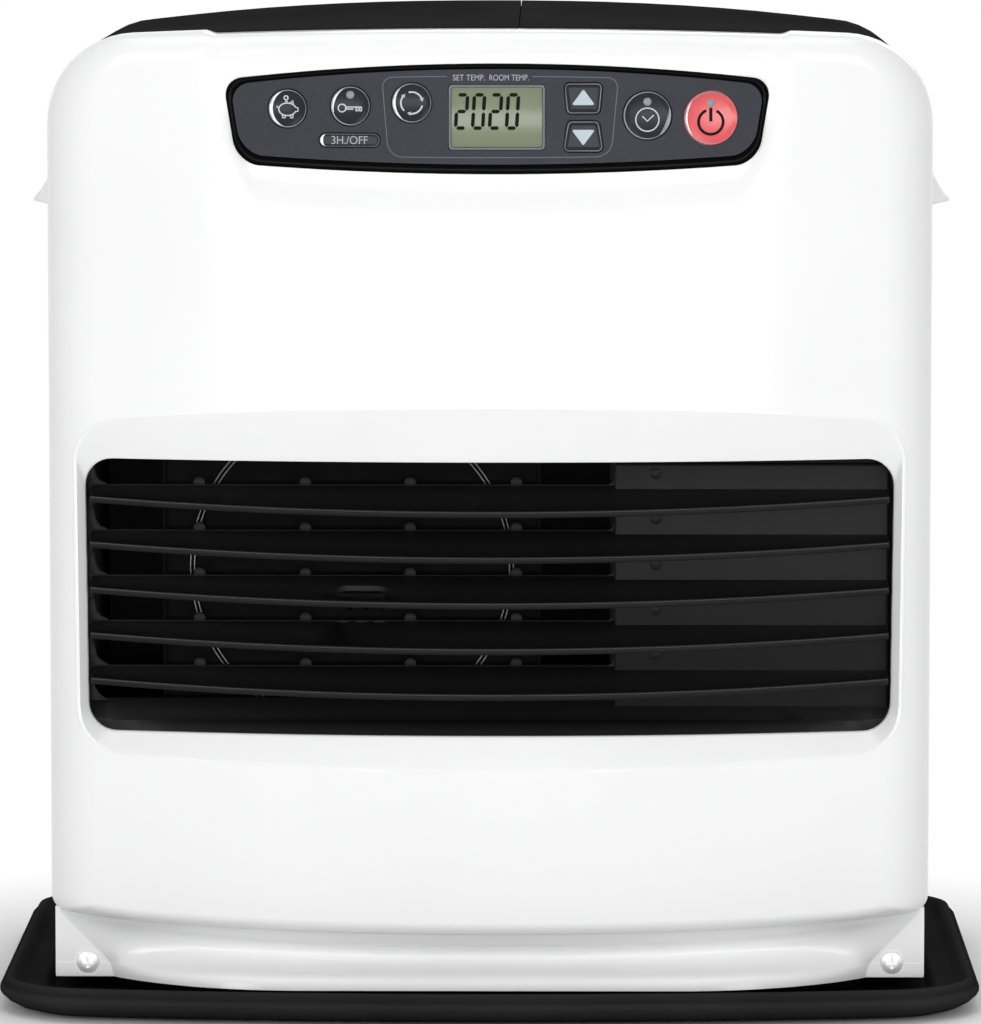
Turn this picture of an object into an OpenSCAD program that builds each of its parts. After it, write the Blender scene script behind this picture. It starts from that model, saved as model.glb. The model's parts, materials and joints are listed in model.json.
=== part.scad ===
// Fan-assisted paraffin heater: white moulded front on a sheet steel cabinet, black top, louvred outlet, drip tray.
// Origin: centre of the drip tray's footprint, on the floor. The front faces -Y and +X is the viewer's right.

/* [Overall] */
// Width over the drip tray
tray_w = 424; // [412:1:440]
// Depth over the drip tray
tray_d = 299; // [294:1:320]
// Height to the crest of the top
total_h = 429; // [420:1:445]
// Gap from the cabinet's side to the tray's edge
side_gap = 21.3; // [17:0.1:23]
// Gap from the tray's front edge to the middle of the front panel
front_gap = 30; // [27:1:34]
// Gap from the rear panel to the tray's rear edge
rear_gap = 33.3; // [28:0.1:36]
// Height of the cabinet's lowest edge
foot_z = 11.2; // [9.7:0.1:12]

/* [Drip tray] */
// Height of the tray's rim
tray_rim = 14.4; // [13:0.2:18]
// Corner radius of the tray
tray_corner = 38; // [30:1:44]
// How far the tray's front edge bows out
tray_bow = 13; // [8:1:16]
// Thickness of the tray's floor
tray_floor = 4.5; // [3.5:0.1:6]
// Radius of the four raised pads under the cabinet
pad_r = 13; // [10:0.5:16]

/* [Front panel] */
// Radius of the bowed front face, seen from above
face_r = 680; // [600:10:800]
// Wall of the front panel
panel_wall = 2.4; // [2:0.1:3]
// Depth of the front panel behind its face
seam_depth = 30; // [28:1:34]
// Radius of the upper corners, seen from the front
corner_r = 39; // [32:1:44]
// Radius of the crowned top edge
crown_r = 3000; // [2200:100:4500]
// How far the crest of the top stands above the front panel
top_rise = 4.5; // [3:0.5:6]
// Fillet round the sides of the face
side_fillet = 20; // [16:1:24]
// Fillet along the top of the face
top_fillet = 12; // [8:1:16]
// Fillet along the bottom of the face
bottom_fillet = 6; // [4:0.5:8]
// Height of the face's lower edge
face_bottom = 40; // [36:1:44]
// How far the face's lower edge drops in the middle
face_drop = 5.1; // [0:0.1:7]
// Depth of the relief round the control panel
relief_depth = 1.4; // [0.8:0.1:1.6]
// Thickness of the coved skirt and the corner gussets
skirt_wall = 1.6; // [1.4:0.1:2]
// How far the corner gussets stand behind the middle of the face
gusset_depth = 39; // [37:0.5:42]
// Height of the front screws
front_screw_z = 17.7; // [16.7:0.5:19.2]

/* [Outlet] */
// Margin from the cabinet's side to the outlet opening
outlet_margin = 18; // [17:0.5:22]
// Lower edge of the outlet opening
outlet_z0 = 120.6; // [112:0.2:124]
// Upper edge of the outlet opening
outlet_z1 = 238.7; // [236:0.2:244]
// Corner radius of the outlet opening
outlet_r = 11.5; // [8:0.5:14]
// Depth of the bevel round the outlet
bevel_depth = 8; // [6:0.5:9]
// Number of louvre blades
blade_count = 5; // [4:1:6]
// Thickness of a louvre blade
blade_t = 2.2; // [1.8:0.1:2.8]
// Slope of the blades down to the front, in degrees
blade_slope = 9; // [6:0.5:11]
// Depth of the louvre grille from the middle of the face
grille_depth = 47; // [46:0.5:50]
// Right end of the grille's open part, measured from the middle
open_x1 = 54.9; // [48:0.5:58]

/* [Controls] */
// Width of the control bezel
bezel_w = 233.6; // [226:0.5:238]
// Drop from the crest of the top to the upper corners of the control bezel
bezel_drop = 27; // [25:0.5:31]
// Height of the control bezel at its corners
bezel_h = 35.8; // [34:0.2:38]
// Width of the bezel's black rim
bezel_rim = 2.6; // [2:0.1:3.4]
// Offset of the controls from the middle of the front
bezel_x = 3.5; // [0:0.5:5]
// Travel of a button
button_travel = 0.6; // [0.4:0.1:0.8]
// Gap round a button
button_gap = 0.3; // [0.2:0.05:0.4]
// Width of the display glass
lcd_w = 39.9; // [34:0.1:42]
// Height of the display glass
lcd_h = 27.9; // [24:0.1:29]

/* [Cabinet] */
// Thickness of the sheet steel
sheet = 1.2; // [1:0.1:1.4]
// Radius of the rear edges
rear_r = 8; // [6:0.5:10]
// Depth of the finger pocket in a side grip
grip_depth = 14; // [11:0.5:15]
// Length of a side grip
grip_l = 92; // [80:1:110]
// Drop from the side panel's top to the middle of the grips' hoods
grip_drop = 36.7; // [35.7:0.5:43.7]
// Wall of the black top cover and the tank lid
cover_wall = 2.4; // [2:0.1:3]
// Left edge of the tank lid
lid_x = 12.8; // [11:0.2:16]

/* [Fuel] */
// Width of the removable tank
tank_w = 108; // [96:1:110]
// Gap from the louvre grille to the tank
tank_gap = 10; // [9:0.5:20]
// Corner radius of the tank
tank_r = 14; // [10:1:20]
// Wall of the tank and the sump
tank_wall = 1; // [0.8:0.1:1.4]
// Radius of the tank cap
cap_r = 22.5; // [20:0.5:23]
// Height of the sump
sump_h = 30; // [26:1:32]

/* [Burner and fans] */
// Radius of the combustion chamber
chamber_r = 54; // [46:1:56]
// Radius of the burner head
head_r = 34; // [30:1:36]
// Radius of the warm air fan
fan_r = 70; // [60:1:72]
// Number of fan blades
fan_blades = 5; // [4:1:7]
// Height of the fan's axis
fan_z = 182; // [180:1:184]
// Number of vanes on the blower's impeller
impeller_vanes = 16; // [10:1:20]

/* [Clearances] */
// Gap between pieces that seat on each other
seat_gap = 0.2; // [0.15:0.05:0.3]
// Gap along visible seams
seam_gap = 0.4; // [0.3:0.05:0.6]
// Radial clearance of pins and screws in their holes
pin_gap = 0.05; // [0.03:0.01:0.08]

/* [Hidden] */

white = [0.93, 0.93, 0.93];
black = [0.13, 0.13, 0.135];
slate = [0.2, 0.21, 0.24];
steel = [0.72, 0.73, 0.74];

// Main planes
body_w = tray_w - 2 * side_gap;
front_y = -tray_d / 2 + front_gap;
rear_y = tray_d / 2 - rear_gap;
panel_top = total_h - top_rise;
side_step = 1.5;
side_x = body_w / 2 - side_step;
inner_x = side_x - sheet;
flange_y = rear_y - sheet;
cover_z = panel_top - corner_r + 0.5;
side_top = cover_z - 0.3;
grip_z = side_top - grip_drop;
gusset_y = front_y + gusset_depth;
gusset_x = side_x - 0.6;
gusset_top = face_bottom + 1.9;
gusset_knee = [gusset_x - 23.1, foot_z + 7];
skirt_x = gusset_x - 25.2;
outlet_x = body_w / 2 - outlet_margin;
grille_y = front_y + grille_depth;
grille_rear = grille_y + 4.5;
front_screw_x = gusset_x - 14;
plate_t = sheet;
plate_top = foot_z + plate_t;
floor_seat = plate_top + seat_gap;
plate_x = gusset_x - skirt_wall - seat_gap;
plate_y0 = gusset_y + skirt_wall + 0.3;
plate_y1 = flange_y - sheet - seat_gap;
pads = [for (x = [-150, 150], y = [-55, 90]) [x, y]];

// Tank bay and hot air path
tank_x1 = side_x - 21;
tank_x0 = tank_x1 - tank_w;
tank_cx = (tank_x0 + tank_x1) / 2;
tank_y0 = grille_rear + tank_gap;
tank_y1 = flange_y - 25;
tank_depth = tank_y1 - tank_y0;
tank_cy = (tank_y0 + tank_y1) / 2;
partition_x = tank_x0 - 2;
duct_x0 = -side_x + 14;
duct_x1 = partition_x - sheet - 1.8;
duct_z0 = fan_z - 78;
duct_z1 = fan_z + 78;
duct_y0 = grille_rear + seat_gap;
duct_y1 = 80;
burner_x = (duct_x0 + duct_x1) / 2;
screen_y = duct_y0 + 7.5;
burner_y = screen_y + sheet + 7.1 + chamber_r;
shroud_r = fan_r + 4;
sump_z1 = floor_seat + sump_h;
sump_x0 = partition_x - 50;
collar_h = 15.8;
tank_z0 = sump_z1 + collar_h + seat_gap;
well_z = cover_z + 10;
tank_z1 = well_z - 2.5;
hinge = [rear_y + 2.6, well_z + 4.6];
pump_xy = [partition_x - 30, tank_y1 - 28];
blower_x = -side_x + 51;
blower_xy = [blower_x, burner_y + sqrt(max(0, 7684 - pow(burner_x - blower_x, 2)))];
rail_x = [burner_x - 90, burner_x + 90];

// Panel that carries the controls
bezel_proud = 0.5;
fascia_t = 2;
board_y = front_y + 19.5;
board_t = 1.6;
switch_h = 3.4;
bezel_z1 = total_h - bezel_drop;
bezel_z0 = bezel_z1 - bezel_h;
crown_up = 7.2;
crown_down = 4;

// Buttons: name, x, z, radius; the pill and the arrow keys have outlines of their own
round_buttons = [
    ["eco_button", -85.7, bezel_z1 - 12.1, 8.3], ["lock_button", -59.3, bezel_z1 - 10.3, 8.5],
    ["cycle_button", -33.3, bezel_z1 - 9.3, 8.6], ["timer_button", 66.8, bezel_z1 - 14.9, 10.4],
    ["power_button", 93.6, bezel_z1 - 16.3, 11.6]];
pill_at = [-58.9, bezel_z1 - 26];
pill_size = [25.7, 5.5];
key_x = 40.1;
key_z = [bezel_z1 - 23.7, bezel_z1 - 7.6];
key_size = [15.7, 13.5];
lcd_at = [2.75, bezel_z1 - 15.6];

// Rounds the corners of an outline; r is one radius or a list of them
function unit(v) = v / norm(v);
function fillet(a, p, b, r, n) =
    r == 0 ? [p] :
    let (u = unit(a - p), v = unit(b - p), half = acos(u * v) / 2, c = p + unit(u + v) * r / sin(half),
         s = p + u * r / tan(half) - c, e = p + v * r / tan(half) - c,
         a0 = atan2(s.y, s.x), turn = atan2(e.y, e.x) - a0,
         sweep = turn > 180 ? turn - 360 : turn < -180 ? turn + 360 : turn)
    [for (i = [0:n]) c + r * [cos(a0 + sweep * i / n), sin(a0 + sweep * i / n)]];
function rounded(pts, r, n = 5) =
    let (k = len(pts))
    [for (i = [0:k - 1]) each fillet(pts[(i + k - 1) % k], pts[i], pts[(i + 1) % k], is_list(r) ? r[i] : r, n)];
function rect_pts(x0, x1, z0, z1) = [[x0, z0], [x1, z0], [x1, z1], [x0, z1]];

// An outline with rounded corners and crowned top and bottom edges, c1 and c0 high at the middle
function crowned(hw, z0, z1, c0, c1, r0, r1, nt = 10, nc = 5) =
    let (mid = (z0 + z1) / 2, steps = [for (i = [1:nt - 1]) hw * (2 * i / nt - 1)],
         flat = [for (s = steps) 0],
         base = rounded(concat([[-hw, z0]], [for (s = steps) [s, z0]], [[hw, z0], [hw, z1]],
                               [for (s = steps) [-s, z1]], [[-hw, z1]]),
                        concat([r0], flat, [r0, r1], flat, [r1]), nc))
    [for (p = base) [p.x, p.y + (p.y > mid ? c1 : -c0) * (1 - pow(p.x / hw, 2))]];

// Distance of the bowed face behind its middle
function bow(x, r = face_r) = r - sqrt(r * r - x * x);
function seam_y(x) = front_y + bow(x) + seam_depth;

// Crowned top edge with round ends, left to right: [x, z, normal x, normal z]
function top_edge(hw, r, top, cr, nc = 9, nt = 18) =
    let (c = [-(hw - r), top - cr + sqrt(pow(cr - r, 2) - pow(hw - r, 2))], tilt = asin((hw - r) / (cr - r)))
    concat(
        [for (i = [0:nc]) let (a = 180 - (90 - tilt) * i / nc) [c.x + r * cos(a), c.y + r * sin(a), cos(a), sin(a)]],
        [for (i = [1:nt - 1]) let (a = 90 + tilt * (1 - 2 * i / nt)) [cr * cos(a), top - cr + cr * sin(a), cos(a), sin(a)]],
        [for (i = [nc:-1:0]) let (a = (90 - tilt) * i / nc) [-c.x + r * cos(a), c.y + r * sin(a), cos(a), sin(a)]]);

function tri(q) = [[q[0], q[1], q[2]], [q[0], q[2], q[3]]];

module box(x, y, z) translate([x[0], y[0], z[0]]) cube([x[1] - x[0], y[1] - y[0], z[1] - z[0]]);
// Extrudes an (x, z) outline from y0 to y1
module along_y(y0, y1) translate([0, y1, 0]) rotate([90, 0, 0]) linear_extrude(y1 - y0) children();
// Extrudes a (y, z) outline from x0 to x1
module along_x(x0, x1) translate([x0, 0, 0]) rotate([90, 0, 90]) linear_extrude(x1 - x0) children();
module tube_y(r, y0, y1, fn = 48) translate([0, y1, 0]) rotate([90, 0, 0]) cylinder(r = r, h = y1 - y0, $fn = fn);
module rod(r, z0, z1, fn = 48) translate([0, 0, z0]) cylinder(r = r, h = z1 - z0, $fn = fn);
module ring(r0, r1, z0, z1, fn = 64) difference() { rod(r1, z0, z1, fn); rod(r0, z0 - 1, z1 + 1, fn); }
module round_rect(w, d, r) {
    square([w - 2 * r, d], center = true);
    square([w, d - 2 * r], center = true);
    for (x = [-1, 1], y = [-1, 1]) translate([x * (w / 2 - r), y * (d / 2 - r)]) circle(r = r, $fn = 32);
}
// The column in front of, or behind, the bowed surface that lies off behind the face
module bow_column(off, z0 = 0, z1 = total_h)
    translate([0, front_y + face_r, 0]) rod(face_r - off, z0, z1, 360);
module bow_slab(off0, off1, z0 = 0, z1 = total_h) difference() {
    bow_column(off0, z0, z1);
    bow_column(off1, z0 - 1, z1 + 1);
}
module mirrored() { children(); mirror([1, 0, 0]) children(); }
// Round wire or pipe through a list of points
module pipe(points, r, fn = 20, elbow = 1.06) for (i = [0:len(points) - 2]) {
    d = points[i + 1] - points[i];
    translate(points[i]) rotate([0, acos(d.z / norm(d)), atan2(d.y, d.x)]) cylinder(r = r, h = norm(d), $fn = fn);
    if (i > 0) translate(points[i]) sphere(r = r * elbow, $fn = fn);
}

// Solid through closed rings, each counter-clockwise seen from where the rings lead; a loop closes on itself
module loft(rings, loop = false) {
    k = len(rings);
    n = len(rings[0]);
    function at(i, j) = (i % k) * n + j % n;
    polyhedron(
        points = [for (r = rings) each r],
        faces = concat(
            [for (i = [0:k - (loop ? 1 : 2)], j = [0:n - 1])
                each tri([at(i, j + 1), at(i, j), at(i + 1, j), at(i + 1, j + 1)])],
            loop ? [] : [[for (j = [0:n - 1]) j], [for (j = [n - 1:-1:0]) at(k - 1, j)]]));
}
// Solid sheet between two grids; rows lead away from the top edge and columns to the right, seen from grid a
module sheet_of(a, b) {
    m = len(a);
    n = len(a[0]);
    function at(s, i, j) = (s * m + i) * n + j;
    polyhedron(
        points = concat([for (r = a) each r], [for (r = b) each r]),
        faces = concat(
            [for (i = [0:m - 2], j = [0:n - 2])
                each tri([at(0, i, j), at(0, i, j + 1), at(0, i + 1, j + 1), at(0, i + 1, j)])],
            [for (i = [0:m - 2], j = [0:n - 2])
                each tri([at(1, i, j), at(1, i + 1, j), at(1, i + 1, j + 1), at(1, i, j + 1)])],
            [for (j = [0:n - 2]) each tri([at(0, 0, j + 1), at(0, 0, j), at(1, 0, j), at(1, 0, j + 1)])],
            [for (j = [0:n - 2])
                each tri([at(0, m - 1, j), at(0, m - 1, j + 1), at(1, m - 1, j + 1), at(1, m - 1, j)])],
            [for (i = [0:m - 2]) each tri([at(1, i, 0), at(0, i, 0), at(0, i + 1, 0), at(1, i + 1, 0)])],
            [for (i = [0:m - 2])
                each tri([at(0, i, n - 1), at(1, i, n - 1), at(1, i + 1, n - 1), at(0, i + 1, n - 1)])]));
}
// Open shell between two sets of rings; the last ring of each is closed by strips from its top row to its bottom row
module shell_of(outer, inner) {
    k = len(outer);
    n = len(outer[0]);
    function at(s, i, j) = (s * k + i) * n + (j + n) % n;
    function wall(s, i, j) = [at(s, i, j), at(s, i, j + 1), at(s, i + 1, j + 1), at(s, i + 1, j)];
    function strip(s, j) = [at(s, k - 1, j), at(s, k - 1, j + 1), at(s, k - 1, n - 2 - j), at(s, k - 1, n - 1 - j)];
    function flip(q) = [q[3], q[2], q[1], q[0]];
    polyhedron(
        points = concat([for (r = outer) each r], [for (r = inner) each r]),
        faces = concat(
            [for (i = [0:k - 2], j = [0:n - 1]) each tri(wall(0, i, j))],
            [for (i = [0:k - 2], j = [0:n - 1]) each tri(flip(wall(1, i, j)))],
            [for (j = [0:n / 2 - 2]) each tri(strip(0, j))],
            [for (j = [0:n / 2 - 2]) each tri(flip(strip(1, j)))],
            [for (j = [0:n - 1]) each tri([at(0, 0, j), at(1, 0, j), at(1, 0, j + 1), at(0, 0, j + 1)])]));
}

// Solid through the same rings, closed by strips at both ends
module core_of(rings) {
    k = len(rings);
    n = len(rings[0]);
    function at(i, j) = i * n + (j + n) % n;
    function strip(i, j) = [at(i, j), at(i, j + 1), at(i, n - 2 - j), at(i, n - 1 - j)];
    function flip(q) = [q[3], q[2], q[1], q[0]];
    polyhedron(
        points = [for (r = rings) each r],
        faces = concat(
            [for (i = [0:k - 2], j = [0:n - 1]) each tri([at(i, j), at(i, j + 1), at(i + 1, j + 1), at(i + 1, j)])],
            [for (j = [0:n / 2 - 2]) each tri(strip(k - 1, j))],
            [for (j = [0:n / 2 - 2]) each tri(flip(strip(0, j)))]));
}

// Drip tray: outline drawn in by inset, its front edge bowed
function tray_ring(inset, z) =
    let (hw = tray_w / 2 - inset, hd = tray_d / 2 - inset, r = max(tray_corner - inset, 3),
         bow_r = (pow(tray_w / 2 - tray_corner, 2) + tray_bow * tray_bow) / (2 * tray_bow),
         front = [for (i = [1:9]) [hw * (i / 5 - 1), -hd]],
         pts = rounded(concat([[-hw, -hd]], front, [[hw, -hd], [hw, hd], [-hw, hd]]),
                       concat([r], [for (p = front) 0], [r, r, r]), 9))
    [for (p = pts) [p.x, p.y + (p.y < 0 ? bow(p.x, bow_r) : 0), z]];
tray_profile = [
    [20, 0], [14, 0.6], [8, 2.2], [3.6, 4.4], [1, tray_rim - 7.8], [0, tray_rim - 6], [0.1, tray_rim - 4.6],
    [0.9, tray_rim - 3.6], [1.7, tray_rim - 3.2], [2.3, tray_rim - 2], [3.2, tray_rim - 0.4], [4.6, tray_rim],
    [6.4, tray_rim - 0.8], [8.4, tray_rim - 3], [10, tray_rim - 4.2], [17.5, tray_rim - 4.8], [19.5, tray_rim - 6],
    [21.5, tray_floor + 0.8], [24.5, tray_floor]];
module base_tray() color(black) difference() {
    union() {
        loft([for (p = tray_profile) tray_ring(p[0], p[1])]);
        for (p = pads) translate([p.x, p.y, 0]) rod(pad_r, 2, foot_z);
        for (y = [-100, -20, 20]) box([-130, 130], [y, y + 3], [2, tray_floor + 1.2]);
    }
    for (p = pads) translate([p.x, p.y, 0]) {
        rod(4.6, -1, 3.4);
        rod(2 + pin_gap, 0, foot_z + 1);
    }
}
module tray_screws() color(steel) for (p = pads) translate([p.x, p.y, 0]) {
    rod(4.2, 1.2, 3.4 - seat_gap);
    rod(2, 3, plate_top);
}
module base_plate() color(steel) difference() {
    union() {
        translate([0, (plate_y0 + plate_y1) / 2, foot_z]) linear_extrude(14)
            round_rect(2 * plate_x, plate_y1 - plate_y0, 9);
        box([-inner_x + seat_gap, inner_x - seat_gap], [seam_y(body_w / 2) + 10, plate_y1 - 12], [foot_z, foot_z + 14]);
    }
    translate([0, (plate_y0 + plate_y1) / 2, plate_top]) linear_extrude(20)
        round_rect(2 * (plate_x - sheet), plate_y1 - plate_y0 - 2 * sheet, 9 - sheet);
    for (p = pads) translate([p.x, p.y, 0]) rod(2 + pin_gap, 0, foot_z + 5);
    mirrored() translate([front_screw_x, 0, front_screw_z]) tube_y(2 + pin_gap, plate_y0 - 5, plate_y0 + 5);
}

// 0 in the middle and 1 from the half width outwards
function rise(x, hw) = pow(min(1, abs(x) / hw), 2.6);
// Front panel: rings of its outline rolled round the fillets, with the face closed by upright strips
function panel_ring(w, phi, y = undef) =
    let (edge = top_edge(body_w / 2 - w, corner_r - w, panel_top - w, crown_r - w), hw = body_w / 2 - w, rb = 7,
         roll = 1 - cos(phi), r = face_r - w,
         top = [for (p = edge)
             let (s = side_fillet * p[2] * p[2] + top_fillet * p[3] * p[3] - w, x = p[0] - p[2] * s * roll)
             [x, is_undef(y) ? front_y + w + bow(x, r) + s * (1 - sin(phi)) : seam_y(x), p[1] - p[3] * s * roll]],
         low = [for (i = [len(edge) - 1:-1:0])
             let (p = edge[i], s = side_fillet * p[2] * p[2] + bottom_fillet * p[3] * p[3] - w, x = top[i].x,
                  over = max(0, abs(p[0]) - (hw - rb)), drop = face_drop * (1 - rise(p[0], body_w / 2 - 10)))
             [x, is_undef(y) ? front_y + w + bow(x, r) + s * (1 - sin(phi)) : seam_y(x),
              face_bottom - drop + w + rb - sqrt(rb * rb - over * over) + (bottom_fillet - w) * roll]])
    concat(top, low);
function panel_rings(w) = concat([panel_ring(w, 0, 0)], [for (phi = [0:15:90]) panel_ring(w, phi)]);

outer_outlet = crowned(outlet_x + 4.5, outlet_z0 - 7.3, outlet_z1 + 14.2, 6.3, 9.1, 18, 22);
inner_outlet = crowned(outlet_x, outlet_z0, outlet_z1, 0, 0, outlet_r, outlet_r);
function on_bow(pts, off, grow = 0, mid = (outlet_z0 + outlet_z1) / 2) =
    [for (p = pts) let (d = unit([p.x, p.y - mid])) [p.x + d.x * grow, front_y + off + bow(p.x), p.y + d.y * grow]];
module outlet_bevel() loft([
    on_bow(outer_outlet, 0.2, 0.6), on_bow(inner_outlet, bevel_depth),
    on_bow(inner_outlet, bevel_depth + 2), on_bow(outer_outlet, 2, 2)], loop = true);

// Cove and skirt below the face: [depth behind the middle of the face, height in the middle, blend from bowed to
// flat-fronted plan, height at the sides]
face_low = face_bottom - face_drop;
skirt_profile = [
    [4, face_low + 1.1, 0, face_bottom + 1], [7.5, face_low - 2.3, 0, face_bottom - 0.2],
    [10, face_low - 5, 0.05, face_bottom - 0.6], [11.3, face_low - 5.7, 0.08, face_bottom - 1],
    [14, face_low - 6.5, 0.12, face_bottom - 2.4], [20, face_low - 8.5, 0.2, face_bottom - 5.2],
    [23.5, face_low - 11.3, 0.35, face_bottom - 9.5], [22.5, foot_z + 9.6, 0.5, foot_z + 14],
    [16, foot_z + 7.6, 0.7, foot_z + 9.5], [9, foot_z + 6.7, 0.9, foot_z + 7], [5.6, foot_z + 5.8, 1, foot_z + 5.7],
    [3.2, foot_z + 3.9, 1, foot_z + 3.8], [2, foot_z + 1.7, 1, foot_z + 1.7], [1.5, foot_z, 1, foot_z]];
skirt_flat = 80;
function skirt_half(z) =
    z > gusset_knee[1] ? gusset_knee[0] + (z - gusset_knee[1]) * (gusset_x - gusset_knee[0]) / (gusset_top - gusset_knee[1])
    : skirt_x + (z - foot_z) * (gusset_knee[0] - skirt_x) / (gusset_knee[1] - foot_z);
function skirt_y(x, half, d, blend) =
    let (h = gusset_y - front_y - d, w = half - skirt_flat, r = (w * w + h * h) / (2 * h), a = max(0, abs(x) - skirt_flat))
    front_y + d + h * ((1 - blend) * bow(x) / bow(half) + blend * (r - sqrt(r * r - a * a)) / h);
function skirt_row(i, back) =
    let (p = skirt_profile[i], a = skirt_profile[max(i - 1, 0)], b = skirt_profile[min(i + 1, len(skirt_profile) - 1)],
         t = unit([b[0] - a[0], b[1] - a[1]]), half = min(skirt_half(p[3]), gusset_x - 1), w = back ? skirt_wall : 0)
    [for (j = [-10:10])
        let (x = half * sin(9 * j))
        [x, skirt_y(x, half, p[0], p[2]) - t.y * w,
         p[1] + (p[3] - p[1]) * rise(x, half) + (i == len(skirt_profile) - 1 ? 0 : t.x * w)]];
module skirt() {
    rows = [for (i = [0:len(skirt_profile) - 1]) i];
    sheet_of([for (i = rows) skirt_row(i, false)], [for (i = rows) skirt_row(i, true)]);
}
module gusset() {
    along_y(gusset_y, gusset_y + skirt_wall) polygon([
        [gusset_x, foot_z], [gusset_x, gusset_top], [gusset_x - 4, gusset_top],
        [gusset_knee[0] - 2.5, gusset_knee[1]], [skirt_x - 2.5, foot_z]]);
    box([gusset_x - skirt_wall, gusset_x], [gusset_y, seam_y(body_w / 2)], [foot_z, gusset_top]);
}
function bezel_outline(inset, top, bottom) = [
    for (p = crowned(bezel_w / 2 - inset, bezel_z0 + bottom, bezel_z1 - top, crown_down, crown_up, 10, 8, 12))
        [p.x * (1 - 0.05 * max(0, (bezel_z1 - p.y) / (bezel_z1 - bezel_z0))) + bezel_x, p.y]];
relief_hw = bezel_w / 2;
relief_outline = rounded([
    [-relief_hw + 12, bezel_z0 - 11.2], [0, bezel_z0 - 16.2], [relief_hw - 12, bezel_z0 - 11.2],
    [relief_hw + 1.2, bezel_z0 + 15.8], [relief_hw + 7.2, total_h], [-relief_hw - 7.2, total_h],
    [-relief_hw - 1.2, bezel_z0 + 15.8]], [16, 200, 16, 60, 0, 0, 60]);
module front_panel() color(white) difference() {
    union() {
        difference() {
            shell_of(panel_rings(0), panel_rings(panel_wall));
            along_y(front_y - 5, front_y + 40) polygon(outer_outlet);
            difference() {
                along_y(front_y - 5, front_y + 24) translate([bezel_x + 0.5, 0]) polygon(relief_outline);
                core_of(concat([[for (p = panel_ring(relief_depth, 0, 0)) p + [0, 5, 0]]],
                               [for (phi = [0:15:90]) panel_ring(relief_depth, phi)]));
            }
        }
        outlet_bevel();
        skirt();
        mirrored() gusset();
    }
    along_y(front_y - 5, front_y + 24) polygon(bezel_outline(1.4, 1.4, 1.4));
    mirrored() translate([front_screw_x, 0, front_screw_z]) tube_y(2.2, gusset_y - 5, gusset_y + 5);
}
module cross_screw(head_r, head_h, shank_r, length) {
    difference() {
        union() {
            rotate_extrude($fn = 32) polygon([
                [0, head_h], [head_r * 0.55, head_h * 0.88], [head_r * 0.9, head_h * 0.5], [head_r, 0], [0, 0]]);
            rod(shank_r, -length, 0.2, 24);
        }
        for (a = [0, 90]) rotate(a) translate([-head_r / 2, -0.6, head_h * 0.45]) cube([head_r, 1.2, head_h]);
    }
}
module front_screws() color(steel) mirrored()
    translate([front_screw_x, gusset_y, front_screw_z]) rotate([90, 0, 0]) cross_screw(5.05, 2.2, 2, 9);

// Louvre grille: a bowed frame with sloping blades, and a rear plate with a window between each pair
blade_x = outlet_x - 0.6;
blade_front = 6;
blade_pitch = (outlet_z1 - outlet_z0) / (blade_count + 1);
blade_drop = (grille_depth - blade_front) * sin(blade_slope);
function blade_z(i) = outlet_z0 + blade_pitch * i - 1;
module blade(z, front, half, t, nose) translate([0, grille_y, z + blade_drop]) rotate([blade_slope, 0, 0])
    translate([0, -grille_y, -t / 2]) {
        linear_extrude(t) for (b = [[half, front], [outlet_x + 1, bevel_depth + 2.3]]) intersection() {
            translate([-b[0], front_y]) square([2 * b[0], grille_depth]);
            translate([0, front_y + face_r]) circle(r = face_r - b[1], $fn = 360);
        }
        if (nose) translate([0, front_y + face_r, t / 2]) {
            sweep = asin(half / (face_r - front));
            rotate(-90 - sweep) rotate_extrude(angle = 2 * sweep, $fn = 360)
                translate([face_r - front - 0.4, 0]) circle(r = t * 0.68, $fn = 24);
        }
    }
module window(i) {
    low = blade_z(i) + blade_drop + blade_t / 2;
    high = blade_z(i + 1) + blade_drop - blade_t / 2 + (i == blade_count ? 0.8 - blade_drop : 0);
    difference() {
        polygon(rounded(rect_pts(-outlet_x + 1.5, open_x1, low, high), 3.5, 4));
        if (i > 0) for (x = [-125.7, -79.8, -34.4, 11.5]) translate([x, low + 0.8]) circle(r = 2.5, $fn = 24);
    }
}
module louvre_grille() color(black) {
    frame_out = crowned(outlet_x + 2.4, outlet_z0 - 2.2, outlet_z1 + 2.2, 0, 0, outlet_r + 2, outlet_r + 2);
    intersection() {
        along_y(front_y, grille_rear) difference() {
            polygon(frame_out);
            polygon(inner_outlet);
        }
        bow_column(bevel_depth + 2.3);
    }
    intersection() {
        union() {
            for (i = [1:blade_count]) blade(blade_z(i), blade_front, blade_x, blade_t, true);
            blade(outlet_z0, bevel_depth + 2.3, blade_x, 2, false);
        }
        along_y(front_y, grille_rear) polygon(frame_out);
    }
    along_y(grille_y - 2, grille_y) difference() {
        polygon(frame_out);
        for (i = [0:blade_count]) window(i);
    }
}

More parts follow.
